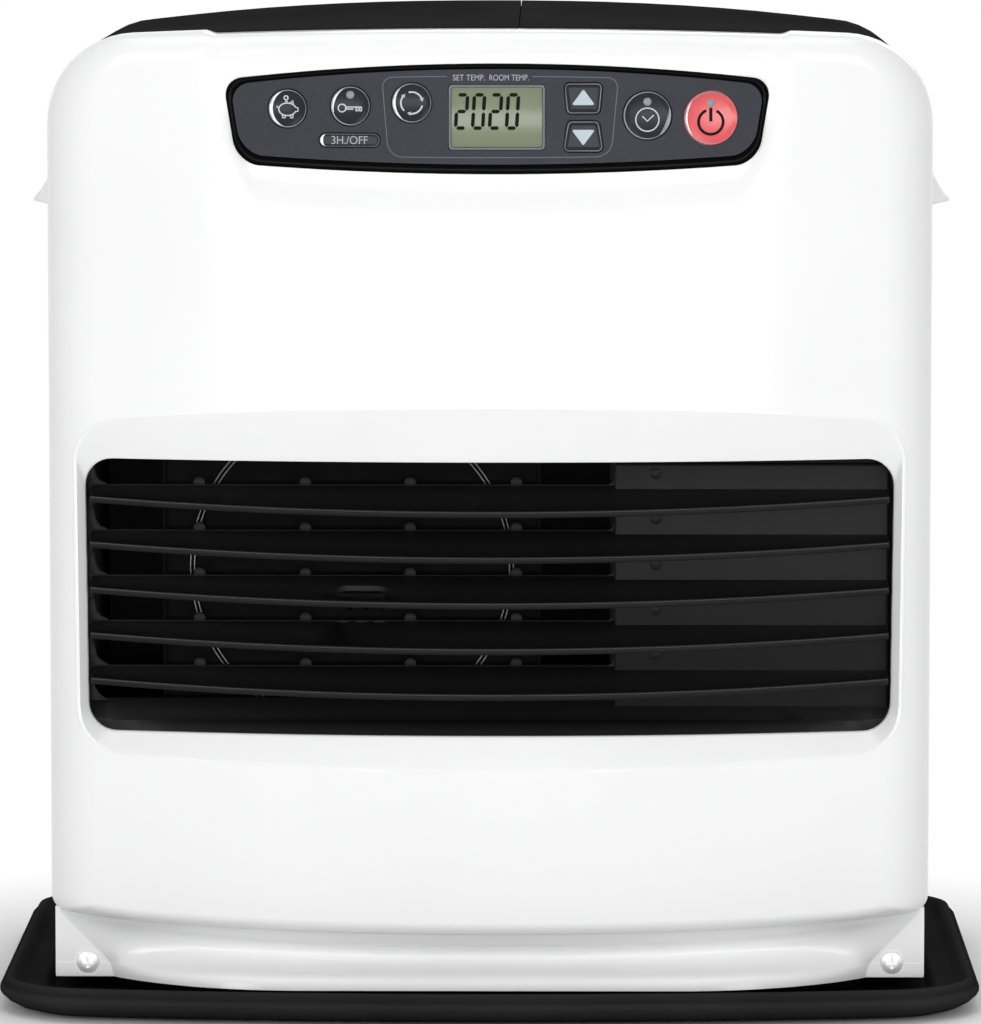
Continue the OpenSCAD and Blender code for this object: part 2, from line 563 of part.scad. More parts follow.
// Side panel, drawn on the +X side: front edge to rear corner to return flange
module side_sheet() difference() {
    union() {
        translate([0, 0, foot_z]) linear_extrude(side_top - foot_z) difference() {
            polygon(rounded([[side_x, seam_y(body_w / 2) + seam_gap], [side_x, flange_y], [side_x - 17, flange_y],
                             [side_x - 17, 0], [side_x - 30, seam_y(body_w / 2) + seam_gap]], [0, rear_r, 0, 0, 0]));
            polygon(rounded([[inner_x, -200], [inner_x, flange_y - sheet], [side_x - 20, flange_y - sheet],
                             [side_x - 60, -200]], [0, rear_r - sheet, 0, 0]));
        }
        box([inner_x - 10, inner_x + 0.4], [seam_y(body_w / 2) + 2, flange_y - rear_r - 2], [side_top - sheet, side_top]);
    }
    along_x(side_x - 5, side_x + 5) translate([20, grip_z - 9]) round_rect(grip_l - 6, 38, 5);
    for (z = screw_heights) translate([side_x - 13, 0, z]) tube_y(1.6 + pin_gap, flange_y - 5, flange_y + 5);
}
screw_heights = [for (i = [0:3]) foot_z + 18 + i * (side_top - foot_z - 40) / 3];
module left_side_panel() color(white) mirror([1, 0, 0]) side_sheet();
module right_side_panel() color(white) side_sheet();

// Side grip on the +X side: a flange, a pocket behind it and a hood over the pocket's upper edge
module grip() {
    cup_y = [20 - (grip_l - 12) / 2, 20 + (grip_l - 12) / 2];
    cup_z = [grip_z - 26, grip_z + 8];
    hood = [[0.5, 18], [1.3, 18], [5, 13.8], [8.5, 9.8], [11.5, 5.2], [13.4, 1.2], [14, -1], [13.4, -2.2], [12, -2.3]];
    difference() {
        union() {
            along_x(side_x + 0.1, side_x + 1.3) translate([20, grip_z - 6]) round_rect(grip_l, 52, 8);
            along_y(cup_y[0], cup_y[1]) translate([side_x, grip_z]) polygon(concat(hood, [
                [10.8, -0.4], [10.2, 0.6], [8.2, 4.2], [5.2, 7.6], [1.3, 10.6], [0.5, 10.6]]));
            for (y = [cup_y[0], cup_y[1] - 1.6]) along_y(y, y + 1.6) translate([side_x, grip_z])
                polygon(concat(hood, [[10, -3.4], [7.6, -5.4], [4.2, -12], [1.3, -22], [0.5, -22]]));
            box([side_x - grip_depth, side_x + 0.5], cup_y, cup_z);
        }
        box([side_x - grip_depth + 1.6, side_x + 1.6], [cup_y[0] + 1.6, cup_y[1] - 1.6], [cup_z[0] + 1.6, cup_z[1] - 1.6]);
    }
}
module left_grip() color(white) mirror([1, 0, 0]) grip();
module right_grip() color(white) grip();

module rear_panel() color(white) difference() {
    box([-side_x + 8.6, side_x - 8.6], [flange_y, rear_y], [foot_z, side_top]);
    translate([burner_x, 0, fan_z]) tube_y(shroud_r, flange_y - 5, rear_y + 5, 64);
    translate([-side_x + 39, 0, foot_z + 29.3]) tube_y(7.2, flange_y - 5, rear_y + 5);
    mirrored() for (z = screw_heights) translate([side_x - 13, 0, z]) tube_y(1.6 + pin_gap, flange_y - 5, rear_y + 5);
    for (i = [0:6]) translate([tank_cx - 4, 0, 60 + i * 9]) along_y(flange_y - 2, rear_y + 2) round_rect(70, 3.4, 1.6);
    for (i = [0:4]) translate([tank_cx - 4, 0, side_top - 85.7 + i * 9]) along_y(flange_y - 2, rear_y + 2) round_rect(70, 3.4, 1.6);
}
module cabinet_screws() color(steel) mirrored() for (z = screw_heights)
    translate([side_x - 13, rear_y, z]) rotate([-90, 0, 0]) cross_screw(3.6, 2.1, 1.6, 6);

// Black top: columns along its crowned edge, rows from the front seam to the rolled rear edge
cover_hw = side_x;
rear_roll = 12;
cover_edge = [for (c = top_edge(cover_hw, corner_r - side_step, panel_top, crown_r)) if (c[1] > cover_z + 2) c];
cover_rows = concat([for (phi = [90:-22.5:22.5]) [1, phi]], [for (f = [1:-0.2:0]) [f, 0]]);
function cover_at(c, row, w) =
    let (s = (rear_roll - w) * (1 - cos(row[1])) + w, lift = top_rise * sin(90 * row[0]) * (1 - rise(c[0], cover_hw - corner_r + side_step)),
         x = c[0] - c[2] * s, z = c[1] + lift - c[3] * s, y0 = seam_y(min(abs(c[0]), body_w / 2)) + seam_gap,
         y1 = rear_y - rear_roll)
    [x, row[1] > 0 ? y1 + (rear_roll - w) * sin(row[1]) : y0 + (y1 - y0) * row[0], z];
function edge_x(a) = let (q = sqrt(1 - pow(a / crown_r, 2))) [a, panel_top - crown_r + crown_r * q, a / crown_r, q];
function low_side(s, z) = [s * cover_hw, z, s, 0];
module cover_sheet(columns) sheet_of(
    [for (r = cover_rows) [for (c = columns) cover_at(c, r, 0)]],
    [for (r = cover_rows) [for (c = columns) cover_at(c, r, cover_wall)]]);
function under_z(f) = panel_top + top_rise * sin(90 * f) - cover_wall;
module rear_wall(x0, x1, z0) intersection() {
    along_y(rear_y - cover_wall, rear_y - 0.1) polygon(concat(
        [[-cover_hw + 10, cover_z], [-cover_hw + 10, cover_z + 1]],
        [for (c = cover_edge) let (p = cover_at(c, [1, 80], 0)) [p.x, p.z]],
        [[cover_hw - 10, cover_z + 1], [cover_hw - 10, cover_z]]));
    box([x0, x1], [0, 200], [z0, total_h]);
}
module knuckle(x0, x1, arm_z) difference() {
    union() {
        along_x(x0, x1) translate([hinge[0], hinge[1]]) circle(r = 2.5, $fn = 32);
        box([x0, x1], [rear_y - 1, hinge[0]], arm_z);
    }
    along_x(x0 - 1, x1 + 1) translate([hinge[0], hinge[1]]) circle(r = 1.3, $fn = 32);
}
hinge_x = [lid_x + 27.2, side_x - 39];
module top_cover() color(black) {
    cover_sheet(concat([low_side(-1, cover_z)], [for (c = cover_edge) if (c[0] < lid_x - 8) c],
                       [edge_x(lid_x - seam_gap / 2)]));
    rear_wall(-cover_hw + 10, lid_x - 0.4, cover_z);
    box([lid_x - 5, cover_hw - rear_roll - 7.6], [rear_y - cover_wall, rear_y - 0.1], [cover_z, well_z + 4]);
    difference() {
        union() {
            box([lid_x - 3.6, side_x - 6.4], [seam_y(0) + 6, rear_y - 17], [well_z, well_z + 2]);
            box([lid_x - 3.6, cover_hw - rear_roll - 7.6], [rear_y - 18, rear_y - 1], [well_z, well_z + 2]);
        }
        translate([tank_cx, tank_cy, 0]) linear_extrude(total_h) round_rect(tank_w + 4, tank_depth + 4, tank_r + 2);
        difference() {
            box([0, 300], [-200, 0], [0, total_h]);
            bow_column(seam_depth + 6);
        }
    }
    f = function(y) (y - seam_y(0) - seam_gap) / (rear_y - rear_roll - seam_y(0) - seam_gap);
    ys = [for (i = [0:8]) seam_y(0) + 6 + i * (rear_y - rear_roll - seam_y(0) - 6) / 8];
    along_x(lid_x - 3.6, lid_x - 0.6) polygon(concat(
        [[ys[0], well_z], [rear_y - 1, well_z], [rear_y - 1, total_h - rear_roll]],
        [for (i = [8:-1:0]) [ys[i], under_z(f(ys[i])) + 1]]));
    along_x(lid_x - 0.7, lid_x + 3.4) polygon(concat(
        [[ys[0], well_z], [ys[8], well_z]], [for (i = [8:-1:0]) [ys[i], under_z(f(ys[i])) - 0.3]]));
    intersection() {
        bow_slab(seam_depth + 6, seam_depth + 8, well_z, well_z + 12);
        box([lid_x - 3.6, side_x - 20], [front_y, 0], [well_z, total_h]);
    }
    box([side_x - 8.4, side_x - 6.4], [seam_y(body_w / 2) + 7, rear_y - 17], [side_top + seat_gap, well_z + 2]);
    for (x = hinge_x, s = [-1, 1]) knuckle(x + s * 10.3 - 5, x + s * 10.3 + 5, [hinge[1] - 8, hinge[1] - 1]);
}
module tank_lid() color(black) {
    cover_sheet(concat([edge_x(lid_x + seam_gap / 2)], [for (c = cover_edge) if (c[0] > lid_x + 8) c],
                       [low_side(1, cover_z + 0.3)]));
    rear_wall(lid_x + 0.4, cover_hw - 10, well_z + 5);
    for (x = hinge_x) knuckle(x - 5, x + 5, [hinge[1] + 0.6, hinge[1] + 8]);
}
module lid_hinge_pins() color(steel) for (x = hinge_x)
    along_x(x - 15.3, x + 15.3) translate([hinge[0], hinge[1]]) circle(r = 1.3 - pin_gap, $fn = 32);

// Controls
module bezel_bore(r, at) translate([at.x, 0, at.y]) tube_y(r, front_y - 10, front_y + 60);
module pill_2d(grow) translate(pill_at) round_rect(pill_size.x + 2 * grow, pill_size.y + 2 * grow, pill_size.y / 2 + grow - 0.01);
module key_2d(up, grow) translate([key_x, key_z[up]]) {
    w = key_size.x / 2 + grow;
    h = key_size.y / 2 + grow;
    t = up == 1 ? 1.2 : -0.4;
    polygon(rounded([[-w + t, -h], [w - t, -h], [w - 1.2 + t, h], [-w + 1.2 - t, h]], 2.4 + grow, 4));
}
module button_holes(grow) {
    for (b = round_buttons) translate([b[1], b[2]]) circle(r = b[3] + grow, $fn = 48);
    pill_2d(grow);
    for (k = [0, 1]) key_2d(k, grow);
}
module control_bezel() color(black) {
    intersection() {
        bow_slab(-bezel_proud, relief_depth - 0.02);
        along_y(front_y - 5, front_y + 40) difference() {
            polygon(bezel_outline(0, 0, 0));
            polygon(bezel_outline(bezel_rim, bezel_rim - 0.4, 4));
        }
    }
    difference() {
        along_y(front_y, board_y - seat_gap) difference() {
            polygon(bezel_outline(1.7, 1.7, 1.7));
            polygon(bezel_outline(bezel_rim + 0.8, bezel_rim + 0.4, 5));
        }
        difference() {
            box([-200, 200], [front_y - 50, front_y + 30], [0, total_h]);
            bow_column(fascia_t + 0.1);
        }
    }
    intersection() {
        bow_slab(relief_depth - 0.1, fascia_t + 0.3);
        along_y(front_y - 5, front_y + 40) difference() {
            polygon(bezel_outline(1.7, 1.7, 1.7));
            polygon(bezel_outline(bezel_rim, bezel_rim - 0.4, 4));
        }
    }
}
module control_fascia() color(slate) difference() {
    intersection() {
        bow_slab(0, fascia_t - 0.1);
        along_y(front_y - 5, front_y + 40) polygon(bezel_outline(bezel_rim + 0.15, bezel_rim - 0.25, 4.15));
    }
    along_y(front_y - 10, front_y + 60) {
        button_holes(button_gap);
        translate(lcd_at) square([lcd_w, lcd_h], center = true);
    }
}
module lcd_display() color([0.62, 0.63, 0.52]) {
    translate([lcd_at.x, 0, lcd_at.y]) {
        box([-lcd_w / 2 + 0.2, lcd_w / 2 - 0.2], [front_y + 0.9, front_y + 8], [-lcd_h / 2 + 0.2, lcd_h / 2 - 0.2]);
        box([-lcd_w / 2 - 2, lcd_w / 2 + 2], [front_y + 8, board_y - seat_gap], [-lcd_h / 2 - 2, lcd_h / 2 - 4]);
    }
}
module control_board() color([0.1, 0.3, 0.18]) {
    along_y(board_y, board_y + board_t) polygon(bezel_outline(2, 2, 2));
    for (b = concat([for (r = round_buttons) [r[1], r[2]]], [pill_at], [for (z = key_z) [key_x, z]]))
        translate([b.x, 0, b.y]) {
            box([-3, 3], [board_y - switch_h, board_y], [-2.6, 2.6]);
            tube_y(1.7, board_y - switch_h - 0.6, board_y - switch_h, 24);
        }
}
// A button cap follows the bowed face; a collar behind the fascia keeps it in, and its stem meets a switch
module button_solid(at, half) {
    stem_y = board_y - switch_h - 0.6 - button_travel - 0.25;
    collar_y = front_y + bow(abs(at.x) + half + 1) + fascia_t + 0.1;
    intersection() {
        along_y(front_y - 5, collar_y + 0.1) children(0);
        bow_column(-0.7);
    }
    along_y(collar_y, collar_y + 1) children(1);
    translate([at.x, 0, at.y]) tube_y(2.2, collar_y + 0.5, stem_y, 24);
}
module round_button(i) {
    b = round_buttons[i];
    button_solid([b[1], b[2]], b[3]) {
        translate([b[1], b[2]]) circle(r = b[3], $fn = 48);
        translate([b[1], b[2]]) circle(r = b[3] + 0.9, $fn = 48);
    }
}
module eco_button() color(slate) round_button(0);
module lock_button() color(slate) round_button(1);
module cycle_button() color(slate) round_button(2);
module timer_button() color(slate) round_button(3);
module power_button() color([0.9, 0.25, 0.27]) round_button(4);
module off_button() color(slate) button_solid(pill_at, pill_size.x / 2) { pill_2d(0); pill_2d(0.8); }
module up_button() color(slate) button_solid([key_x, key_z[1]], key_size.x / 2) { key_2d(1, 0); key_2d(1, 0.8); }
module down_button() color(slate) button_solid([key_x, key_z[0]], key_size.x / 2) { key_2d(0, 0); key_2d(0, 0.8); }

// Fuel: a lift-out tank stands neck down in the collar of a fixed sump
neck_r = cap_r - 4.4;
module fuel_tank() color(steel) translate([tank_cx, tank_cy, 0]) difference() {
    union() {
        translate([0, 0, tank_z0]) linear_extrude(tank_z1 - tank_z0) round_rect(tank_w, tank_depth, tank_r);
        rod(neck_r, tank_z0 - 9, tank_z0 + 1);
        for (s = [-1, 1]) box([s * 42 - 3, s * 42 + 3], [-5, 5], [tank_z1 - 0.5, tank_z1 + 9]);
        box([-5, 5], [-50, -43], [tank_z1 - 0.5, tank_z1 + 3.6]);
    }
    translate([0, 0, tank_z0 + tank_wall]) linear_extrude(tank_z1 - tank_z0 - 2 * tank_wall)
        round_rect(tank_w - 2 * tank_wall, tank_depth - 2 * tank_wall, tank_r - tank_wall);
    rod(neck_r - 2, tank_z0 - 20, tank_z0 + 5);
    along_x(-60, 60) translate([0, tank_z1 + 6]) circle(r = 2.4 + pin_gap, $fn = 32);
    translate([0, tank_depth / 2 - 30, 0]) rod(11, tank_z1 - 3, tank_z1 + 5);
}
module tank_handle() color(steel) translate([tank_cx, tank_cy, tank_z1 + 6]) {
    mirrored() {
        along_x(33.5, 38.5) circle(r = 4, $fn = 32);
        along_x(38, 46) circle(r = 2.4, $fn = 32);
        translate([36, 0, 0]) tube_y(2.2, -38, -1, 24);
        translate([28, -38, 0]) rotate(-90) rotate_extrude(angle = 90, $fn = 48) translate([8, 0]) circle(r = 2.2, $fn = 24);
    }
    along_x(-28, 28) translate([-46, 0]) circle(r = 2.2, $fn = 24);
}
module tank_cap() color([0.75, 0.12, 0.1]) translate([tank_cx, tank_cy, 0]) difference() {
    union() {
        rod(cap_r, tank_z0 - 12.4, tank_z0 - seat_gap, 64);
        for (a = [0:30:330]) rotate(a) translate([cap_r - 0.4, 0, 0]) rod(1.2, tank_z0 - 11, tank_z0 - 1, 16);
    }
    rod(neck_r + 0.1, tank_z0 - 10, tank_z0 + 1, 64);
    rod(4 + pin_gap, tank_z0 - 20, tank_z0, 32);
}
module cap_valve() color([0.75, 0.6, 0.25]) translate([tank_cx, tank_cy, 0]) {
    rod(4, tank_z0 - 15.4, tank_z0 - 9.7, 32);
    rod(6.5, tank_z0 - 9.8, tank_z0 - 8.2, 32);
    rod(2, tank_z0 - 9, tank_z0 - 3, 24);
}
module fuel_gauge() color([0.85, 0.85, 0.8]) translate([tank_cx, tank_y1 - 30, 0]) {
    rod(11 - pin_gap, tank_z1 - 3, tank_z1 + 0.6);
    rod(12.5, tank_z1 + 0.02, tank_z1 + 1.4);
}
sump_d = [tank_y0 - 4, tank_y1 + 8];
module fuel_sump() color(steel) difference() {
    union() {
        box([sump_x0, side_x - 7], sump_d, [floor_seat, sump_z1]);
        translate([tank_cx, tank_cy, 0]) rod(cap_r + 5, sump_z1 - 1, sump_z1 + collar_h, 64);
    }
    difference() {
        box([sump_x0 + tank_wall, side_x - 7 - tank_wall], [sump_d[0] + tank_wall, sump_d[1] - tank_wall],
            [floor_seat + tank_wall, sump_z1 - tank_wall]);
    }
    translate([tank_cx, tank_cy, 0]) rod(cap_r + 2.5, sump_z1, sump_z1 + collar_h + 1, 64);
    translate([tank_cx, tank_cy, 0]) rod(20.4, sump_z1 - 5, sump_z1 + 1, 64);
    translate([pump_xy.x, pump_xy.y, 0]) rod(5.1, sump_z1 - 5, sump_z1 + 1);
}
module fuel_strainer() color([0.85, 0.8, 0.65]) translate([tank_cx, tank_cy, 0]) {
    difference() {
        union() {
            rod(20.4 - pin_gap, floor_seat + tank_wall + 2, sump_z1 + 0.5, 48);
            rod(23, sump_z1 + 0.03, sump_z1 + 1, 48);
        }
        rod(19, floor_seat + tank_wall + 3, sump_z1 + 2, 48);
        for (a = [0:45:135]) rotate(a) box([-30, 30], [-2, 2], [sump_z1 - 20, sump_z1 - 6]);
    }
    rod(2, floor_seat + tank_wall + 2.5, tank_z0 - 15.7, 24);
}
module fuel_pump() color(steel) translate([pump_xy.x, pump_xy.y, 0]) {
    rod(5, sump_z1 - 6, sump_z1 + 1);
    rod(17, sump_z1 + seat_gap, sump_z1 + 4);
    rod(14, sump_z1 + 3.9, sump_z1 + 42);
    rod(4.5, sump_z1 + 41, sump_z1 + 48, 32);
}
pot_z = [50, 90];
pot_r = 44;
module fuel_pipe() color([0.8, 0.45, 0.25]) {
    run = [[pump_xy.x - 14.2, pump_xy.y - 4, pot_z[0] + 22], [pump_xy.x - 26, pump_xy.y - 6, pot_z[0] + 22],
           [burner_x + 58, burner_y, pot_z[0] + 18], [burner_x + pot_r + 0.2, burner_y, pot_z[0] + 18]];
    for (i = [0:2]) pipe([run[i], run[i + 1]], 2.2);
    for (i = [1, 2]) translate(run[i]) rod(3.4, -4, 4, 24);
}

// Burner
module burner_pot() color(steel) translate([burner_x, burner_y, 0]) {
    difference() {
        rod(pot_r, pot_z[0], pot_z[1], 64);
        rod(pot_r - 1.4, pot_z[0] + 1.4, pot_z[1] - 1.4, 64);
        rod(head_r - 6, pot_z[1] - 5, pot_z[1] + 1, 64);
    }
    for (a = [90, 210, 330]) rotate(a) translate([pot_r - 8, 0, 0]) rod(4, floor_seat, pot_z[0] + 1, 24);
}
module burner_head() color([0.55, 0.55, 0.56]) translate([burner_x, burner_y, 0]) difference() {
    rod(head_r, pot_z[1] + seat_gap, duct_z0 + 22, 64);
    rod(head_r - 1.6, pot_z[1] - 1, duct_z0 + 20.4, 64);
    for (a = [0:30:330]) rotate(a) translate([head_r, 0, duct_z0 + 12]) rotate([0, 90, 0]) cylinder(r = 3, h = 8, center = true, $fn = 24);
}
module probe(a, z1) translate([burner_x, burner_y, 0]) rotate(a) translate([(head_r + chamber_r) / 2, 0, 0]) {
    rod(3, duct_z0 - 8, z1, 24);
    rod(5.5, duct_z0 - 5, duct_z0 - seat_gap, 24);
}
module igniter() color([0.95, 0.94, 0.9]) probe(200, duct_z0 + 20);
module flame_sensor() color([0.95, 0.94, 0.9]) probe(340, duct_z0 + 26);
module combustion_chamber() color(steel) translate([burner_x, burner_y, 0]) difference() {
    union() {
        rod(chamber_r, duct_z0 + sheet + seat_gap, duct_z1 - 26, 96);
        rod(chamber_r + 5, duct_z0 + sheet + seat_gap, duct_z0 + 2 * sheet + seat_gap, 96);
    }
    rod(chamber_r - 1, duct_z0, duct_z1 - 27, 96);
    for (a = [0:30:330]) rotate(a) translate([chamber_r, 0, duct_z1 - 40]) rotate([0, 90, 0])
        linear_extrude(8, center = true) round_rect(14, 7, 3.4);
}
module air_duct() color(steel) difference() {
    union() {
        difference() {
            box([duct_x0, duct_x1], [duct_y0, duct_y1], [duct_z0, duct_z1]);
            box([duct_x0 + sheet, duct_x1 - sheet], [duct_y0 - 1, duct_y1 - sheet], [duct_z0 + sheet, duct_z1 - sheet]);
        }
        along_y(duct_y0, duct_y0 + sheet) difference() {
            polygon(rect_pts(duct_x0, duct_x1, duct_z0, duct_z1));
            polygon(rect_pts(duct_x0 + 3, duct_x1 - 3, outlet_z0, outlet_z1));
        }
    }
    translate([burner_x, 0, fan_z]) tube_y(shroud_r + sheet + 0.3, duct_y1 - 5, duct_y1 + 5, 96);
    translate([burner_x, burner_y, 0]) {
        rod(head_r + 3, duct_z0 - 1, duct_z0 + 5, 64);
        for (a = [200, 340]) rotate(a) translate([(head_r + chamber_r) / 2, 0, 0]) rod(3.3, duct_z0 - 1, duct_z0 + 5, 24);
    }
}
screen_x = [burner_x - 81.4, burner_x + 81.4];
module burner_screen() color([0.22, 0.22, 0.22]) difference() {
    union() {
        box(screen_x, [screen_y, screen_y + sheet], [duct_z0 + sheet + seat_gap, duct_z1 - sheet - seat_gap]);
        for (x = screen_x) box([x - 0.6, x + 0.6], [screen_y - 4, screen_y + sheet], [duct_z0 + 4, duct_z1 - 4]);
    }
    translate([burner_x + 6, 0, fan_z + 2]) along_y(screen_y - 5, screen_y + 5) round_rect(22, 4, 1.9);
    for (i = [-1:1]) translate([burner_x + 6 + i * 7, 0, fan_z - 11]) tube_y(1.8, screen_y - 5, screen_y + 5, 20);
}
module screen_ring() color(steel) translate([burner_x, screen_y - 1.3, fan_z + 4]) rotate([90, 0, 0])
    for (r = [67.5, 71.5]) rotate_extrude($fn = 96) translate([r, 0]) circle(r = 1.1, $fn = 16);

// Warm air fan, its shroud and motor
module fan_shroud() color(steel) translate([burner_x, 0, fan_z]) difference() {
    union() {
        tube_y(shroud_r + sheet, duct_y1 - 1, flange_y - seat_gap, 96);
        tube_y(shroud_r + 9, flange_y - seat_gap - sheet, flange_y - seat_gap, 96);
    }
    tube_y(shroud_r, duct_y1 - 5, flange_y + 5, 96);
}
motor_y = [flange_y - 20, flange_y - 2 * sheet - 2 * seat_gap];
module fan_motor() color([0.6, 0.6, 0.62]) translate([burner_x, 0, fan_z]) difference() {
    union() {
        tube_y(24, motor_y[0], motor_y[1], 64);
        intersection() {
            box([-shroud_r, shroud_r], [motor_y[1] - sheet, motor_y[1]], [-9, 9]);
            tube_y(shroud_r - seat_gap, motor_y[0], motor_y[1] + 1, 96);
        }
    }
    tube_y(2.5 + pin_gap, motor_y[0] - 1, motor_y[0] + 16);
}
// A blade is a thin twisted sheet, steeper at its root
module fan_blade_sheet() {
    rows = [for (i = [0:4]) let (r = 16 + i * (fan_r - 16) / 4, pitch = 52 - 24 * i / 4, w = 10 + 13 * i / 4)
        [for (j = [-2:2]) let (s = w * j / 2)
            [s * cos(pitch), s * sin(pitch) * 0.62 + 0.012 * s * s, sqrt(max(r * r - pow(s * cos(pitch), 2), 1))]]];
    sheet_of([for (i = [4:-1:0]) [for (p = rows[i]) p - [0, 0.7, 0]]], [for (i = [4:-1:0]) [for (p = rows[i]) p + [0, 0.7, 0]]]);
}
fan_y = motor_y[0] - 10;
module warm_air_fan() color(steel) translate([burner_x, 0, fan_z]) {
    difference() {
        tube_y(20, fan_y - 7, fan_y + 7, 64);
        tube_y(18.5, fan_y - 8, fan_y + 5, 64);
    }
    tube_y(2.5, fan_y + 4, motor_y[0] + 14);
    for (a = [0:360 / fan_blades:359]) rotate([0, a, 0]) translate([0, fan_y, 0]) fan_blade_sheet();
}
module fan_guard() color(black) translate([burner_x, rear_y, fan_z]) {
    difference() {
        tube_y(shroud_r + 8, 0.05, 2, 96);
        tube_y(shroud_r, -1, 3, 96);
    }
    for (r = [14:12:shroud_r - 4]) rotate([90, 0, 0]) rotate_extrude($fn = 96) translate([r, -2.6]) circle(r = 1, $fn = 16);
    difference() {
        for (a = [0:45:135]) rotate([0, a, 0]) box([-shroud_r - 3, shroud_r + 3], [0.6, 2], [-1.2, 1.2]);
        tube_y(6, -1, 5);
    }
    tube_y(8, 0.6, 3.4, 32);
}
filter_y = [rear_y + 4.4, rear_y + 9];
filter_z = [fan_z - 88, fan_z + 88];
module filter_rails() color(black) {
    for (i = [0, 1]) {
        s = i == 0 ? -1 : 1;
        x = rail_x[i] + s * seat_gap;
        box([min(x, x + s * 3), max(x, x + s * 3)], [rear_y + 0.05, filter_y[1] + 2.2], [filter_z[0] - 3, filter_z[1]]);
        box([min(x - s * 4, x + s * 3), max(x - s * 4, x + s * 3)], [filter_y[1] + seat_gap, filter_y[1] + 2.2],
            [filter_z[0] - 3, filter_z[1]]);
        box([min(x - s * 4, x + s * 3), max(x - s * 4, x + s * 3)], [rear_y + 0.05, filter_y[1] + 2.2],
            [filter_z[0] - 3, filter_z[0] - seat_gap]);
    }
}
module air_filter() color(black) {
    difference() {
        box(rail_x, filter_y, filter_z);
        for (i = [0:9], j = [0:9])
            translate([burner_x + (i - 4.5) * 16.6, 0, fan_z + (j - 4.5) * 16.6]) box([-7.2, 7.2], [0, 200], [-7.2, 7.2]);
    }
    translate([burner_x, 0, 0]) box([-16, 16], [filter_y[0], filter_y[1] + 6], [filter_z[1] - 0.5, filter_z[1] + 5]);
}

// Combustion air blower
blower_z = [24, 62];
module blower_housing() color([0.8, 0.8, 0.78]) translate([blower_xy.x, blower_xy.y, 0]) {
    difference() {
        union() {
            rod(36, blower_z[0], blower_z[1], 64);
            rotate(atan2(burner_y - blower_xy.y, burner_x - blower_xy.x))
                box([0, norm([burner_x, burner_y] - blower_xy) - sqrt(pot_r * pot_r - 196) - seat_gap], [-34, -14],
                    [blower_z[0] + 6, blower_z[1] - 6]);
        }
        rod(34.4, blower_z[0] + 1.6, blower_z[1] - 1.6, 64);
        rod(18, blower_z[0] - 1, blower_z[0] + 3);
        rod(4, blower_z[1] - 3, blower_z[1] + 1, 24);
    }
    for (a = [45, 135, 225, 315]) rotate(a) translate([31, 0, 0]) rod(3, floor_seat, blower_z[0] + 1, 24);
    difference() {
        rod(17, blower_z[1] - 0.5, blower_z[1] + 22, 48);
        rod(2 + pin_gap, blower_z[1] - 2, blower_z[1] + 12, 24);
    }
}
module blower_impeller() color([0.3, 0.3, 0.3]) translate([blower_xy.x, blower_xy.y, 0]) {
    rod(30, blower_z[1] - 8, blower_z[1] - 6, 64);
    ring(26, 30, blower_z[0] + 6, blower_z[0] + 8);
    for (a = [0:360 / impeller_vanes:359]) rotate(a) translate([28, 0, 0]) rotate(30)
        box([-2.2, 2.2], [-0.6, 0.6], [blower_z[0] + 7, blower_z[1] - 7]);
    rod(2, blower_z[1] - 8, blower_z[1] + 10, 24);
}

// Electrical parts
module ignition_coil() color([0.15, 0.15, 0.17]) {
    coil = [-side_x + 40, gusset_y + 35.5];
    box([coil.x - 17, coil.x + 17], [coil.y - 17, coil.y + 17], [floor_seat, floor_seat + 34]);
    translate([coil.x, coil.y, 0]) rod(5, floor_seat + 33, floor_seat + 44, 32);
}
module tank_partition() color(steel) {
    box([partition_x - sheet, partition_x], [grille_rear + 2, flange_y - sheet - seat_gap], [sump_z1 + seat_gap, well_z - seat_gap]);
    box([partition_x - 9, partition_x], [sump_d[0], tank_cy + 4], [sump_z1 + seat_gap, sump_z1 + seat_gap + sheet]);
}
bracket_y = duct_y0 + 3;
module board_bracket() color(steel) {
    box([burner_x - 76, burner_x + 76], [bracket_y, bracket_y + 16], [duct_z1 + seat_gap, duct_z1 + seat_gap + sheet]);
    box([burner_x - 76, burner_x + 76], [bracket_y, bracket_y + sheet], [duct_z1 + seat_gap, duct_z1 + 84]);
    for (x = [-66, 66], z = [14, 74]) translate([burner_x + x, 0, duct_z1 + z]) tube_y(3, bracket_y - 5, bracket_y + 0.5, 24);
}
module main_board() color([0.1, 0.3, 0.18]) {
    y = bracket_y - 5 - seat_gap;
    box([burner_x - 72, burner_x + 72], [y - board_t, y], [duct_z1 + 8, duct_z1 + 80]);
    translate([burner_x, y - board_t, duct_z1]) {
        box([-60, -26], [-18, 0.1], [18, 48]);
        for (i = [0:2]) translate([-8 + i * 14, 0, 30]) tube_y(5, -16, 0.1, 32);
        for (i = [0:3]) box([-12 + i * 18, 2 + i * 18], [-12, 0.1], [52, 66]);
        box([36, 62], [-4, 0.1], [16, 40]);
    }
}
module overheat_thermostat() color([0.85, 0.83, 0.78]) translate([burner_x, burner_y + 28, 0]) {
    rod(8, duct_z1 + seat_gap, duct_z1 + 7, 40);
    box([-12, 12], [-3, 3], [duct_z1 + seat_gap, duct_z1 + 1.4]);
    for (s = [-1, 1]) box([s * 3 - 1.6, s * 3 + 1.6], [-0.4, 0.4], [duct_z1 + 6.5, duct_z1 + 13]);
}
module tip_switch() color([0.2, 0.2, 0.22])
    box([burner_x + 20, burner_x + 48], [gusset_y + 16.5, gusset_y + 36.5], [floor_seat, floor_seat + 24]);
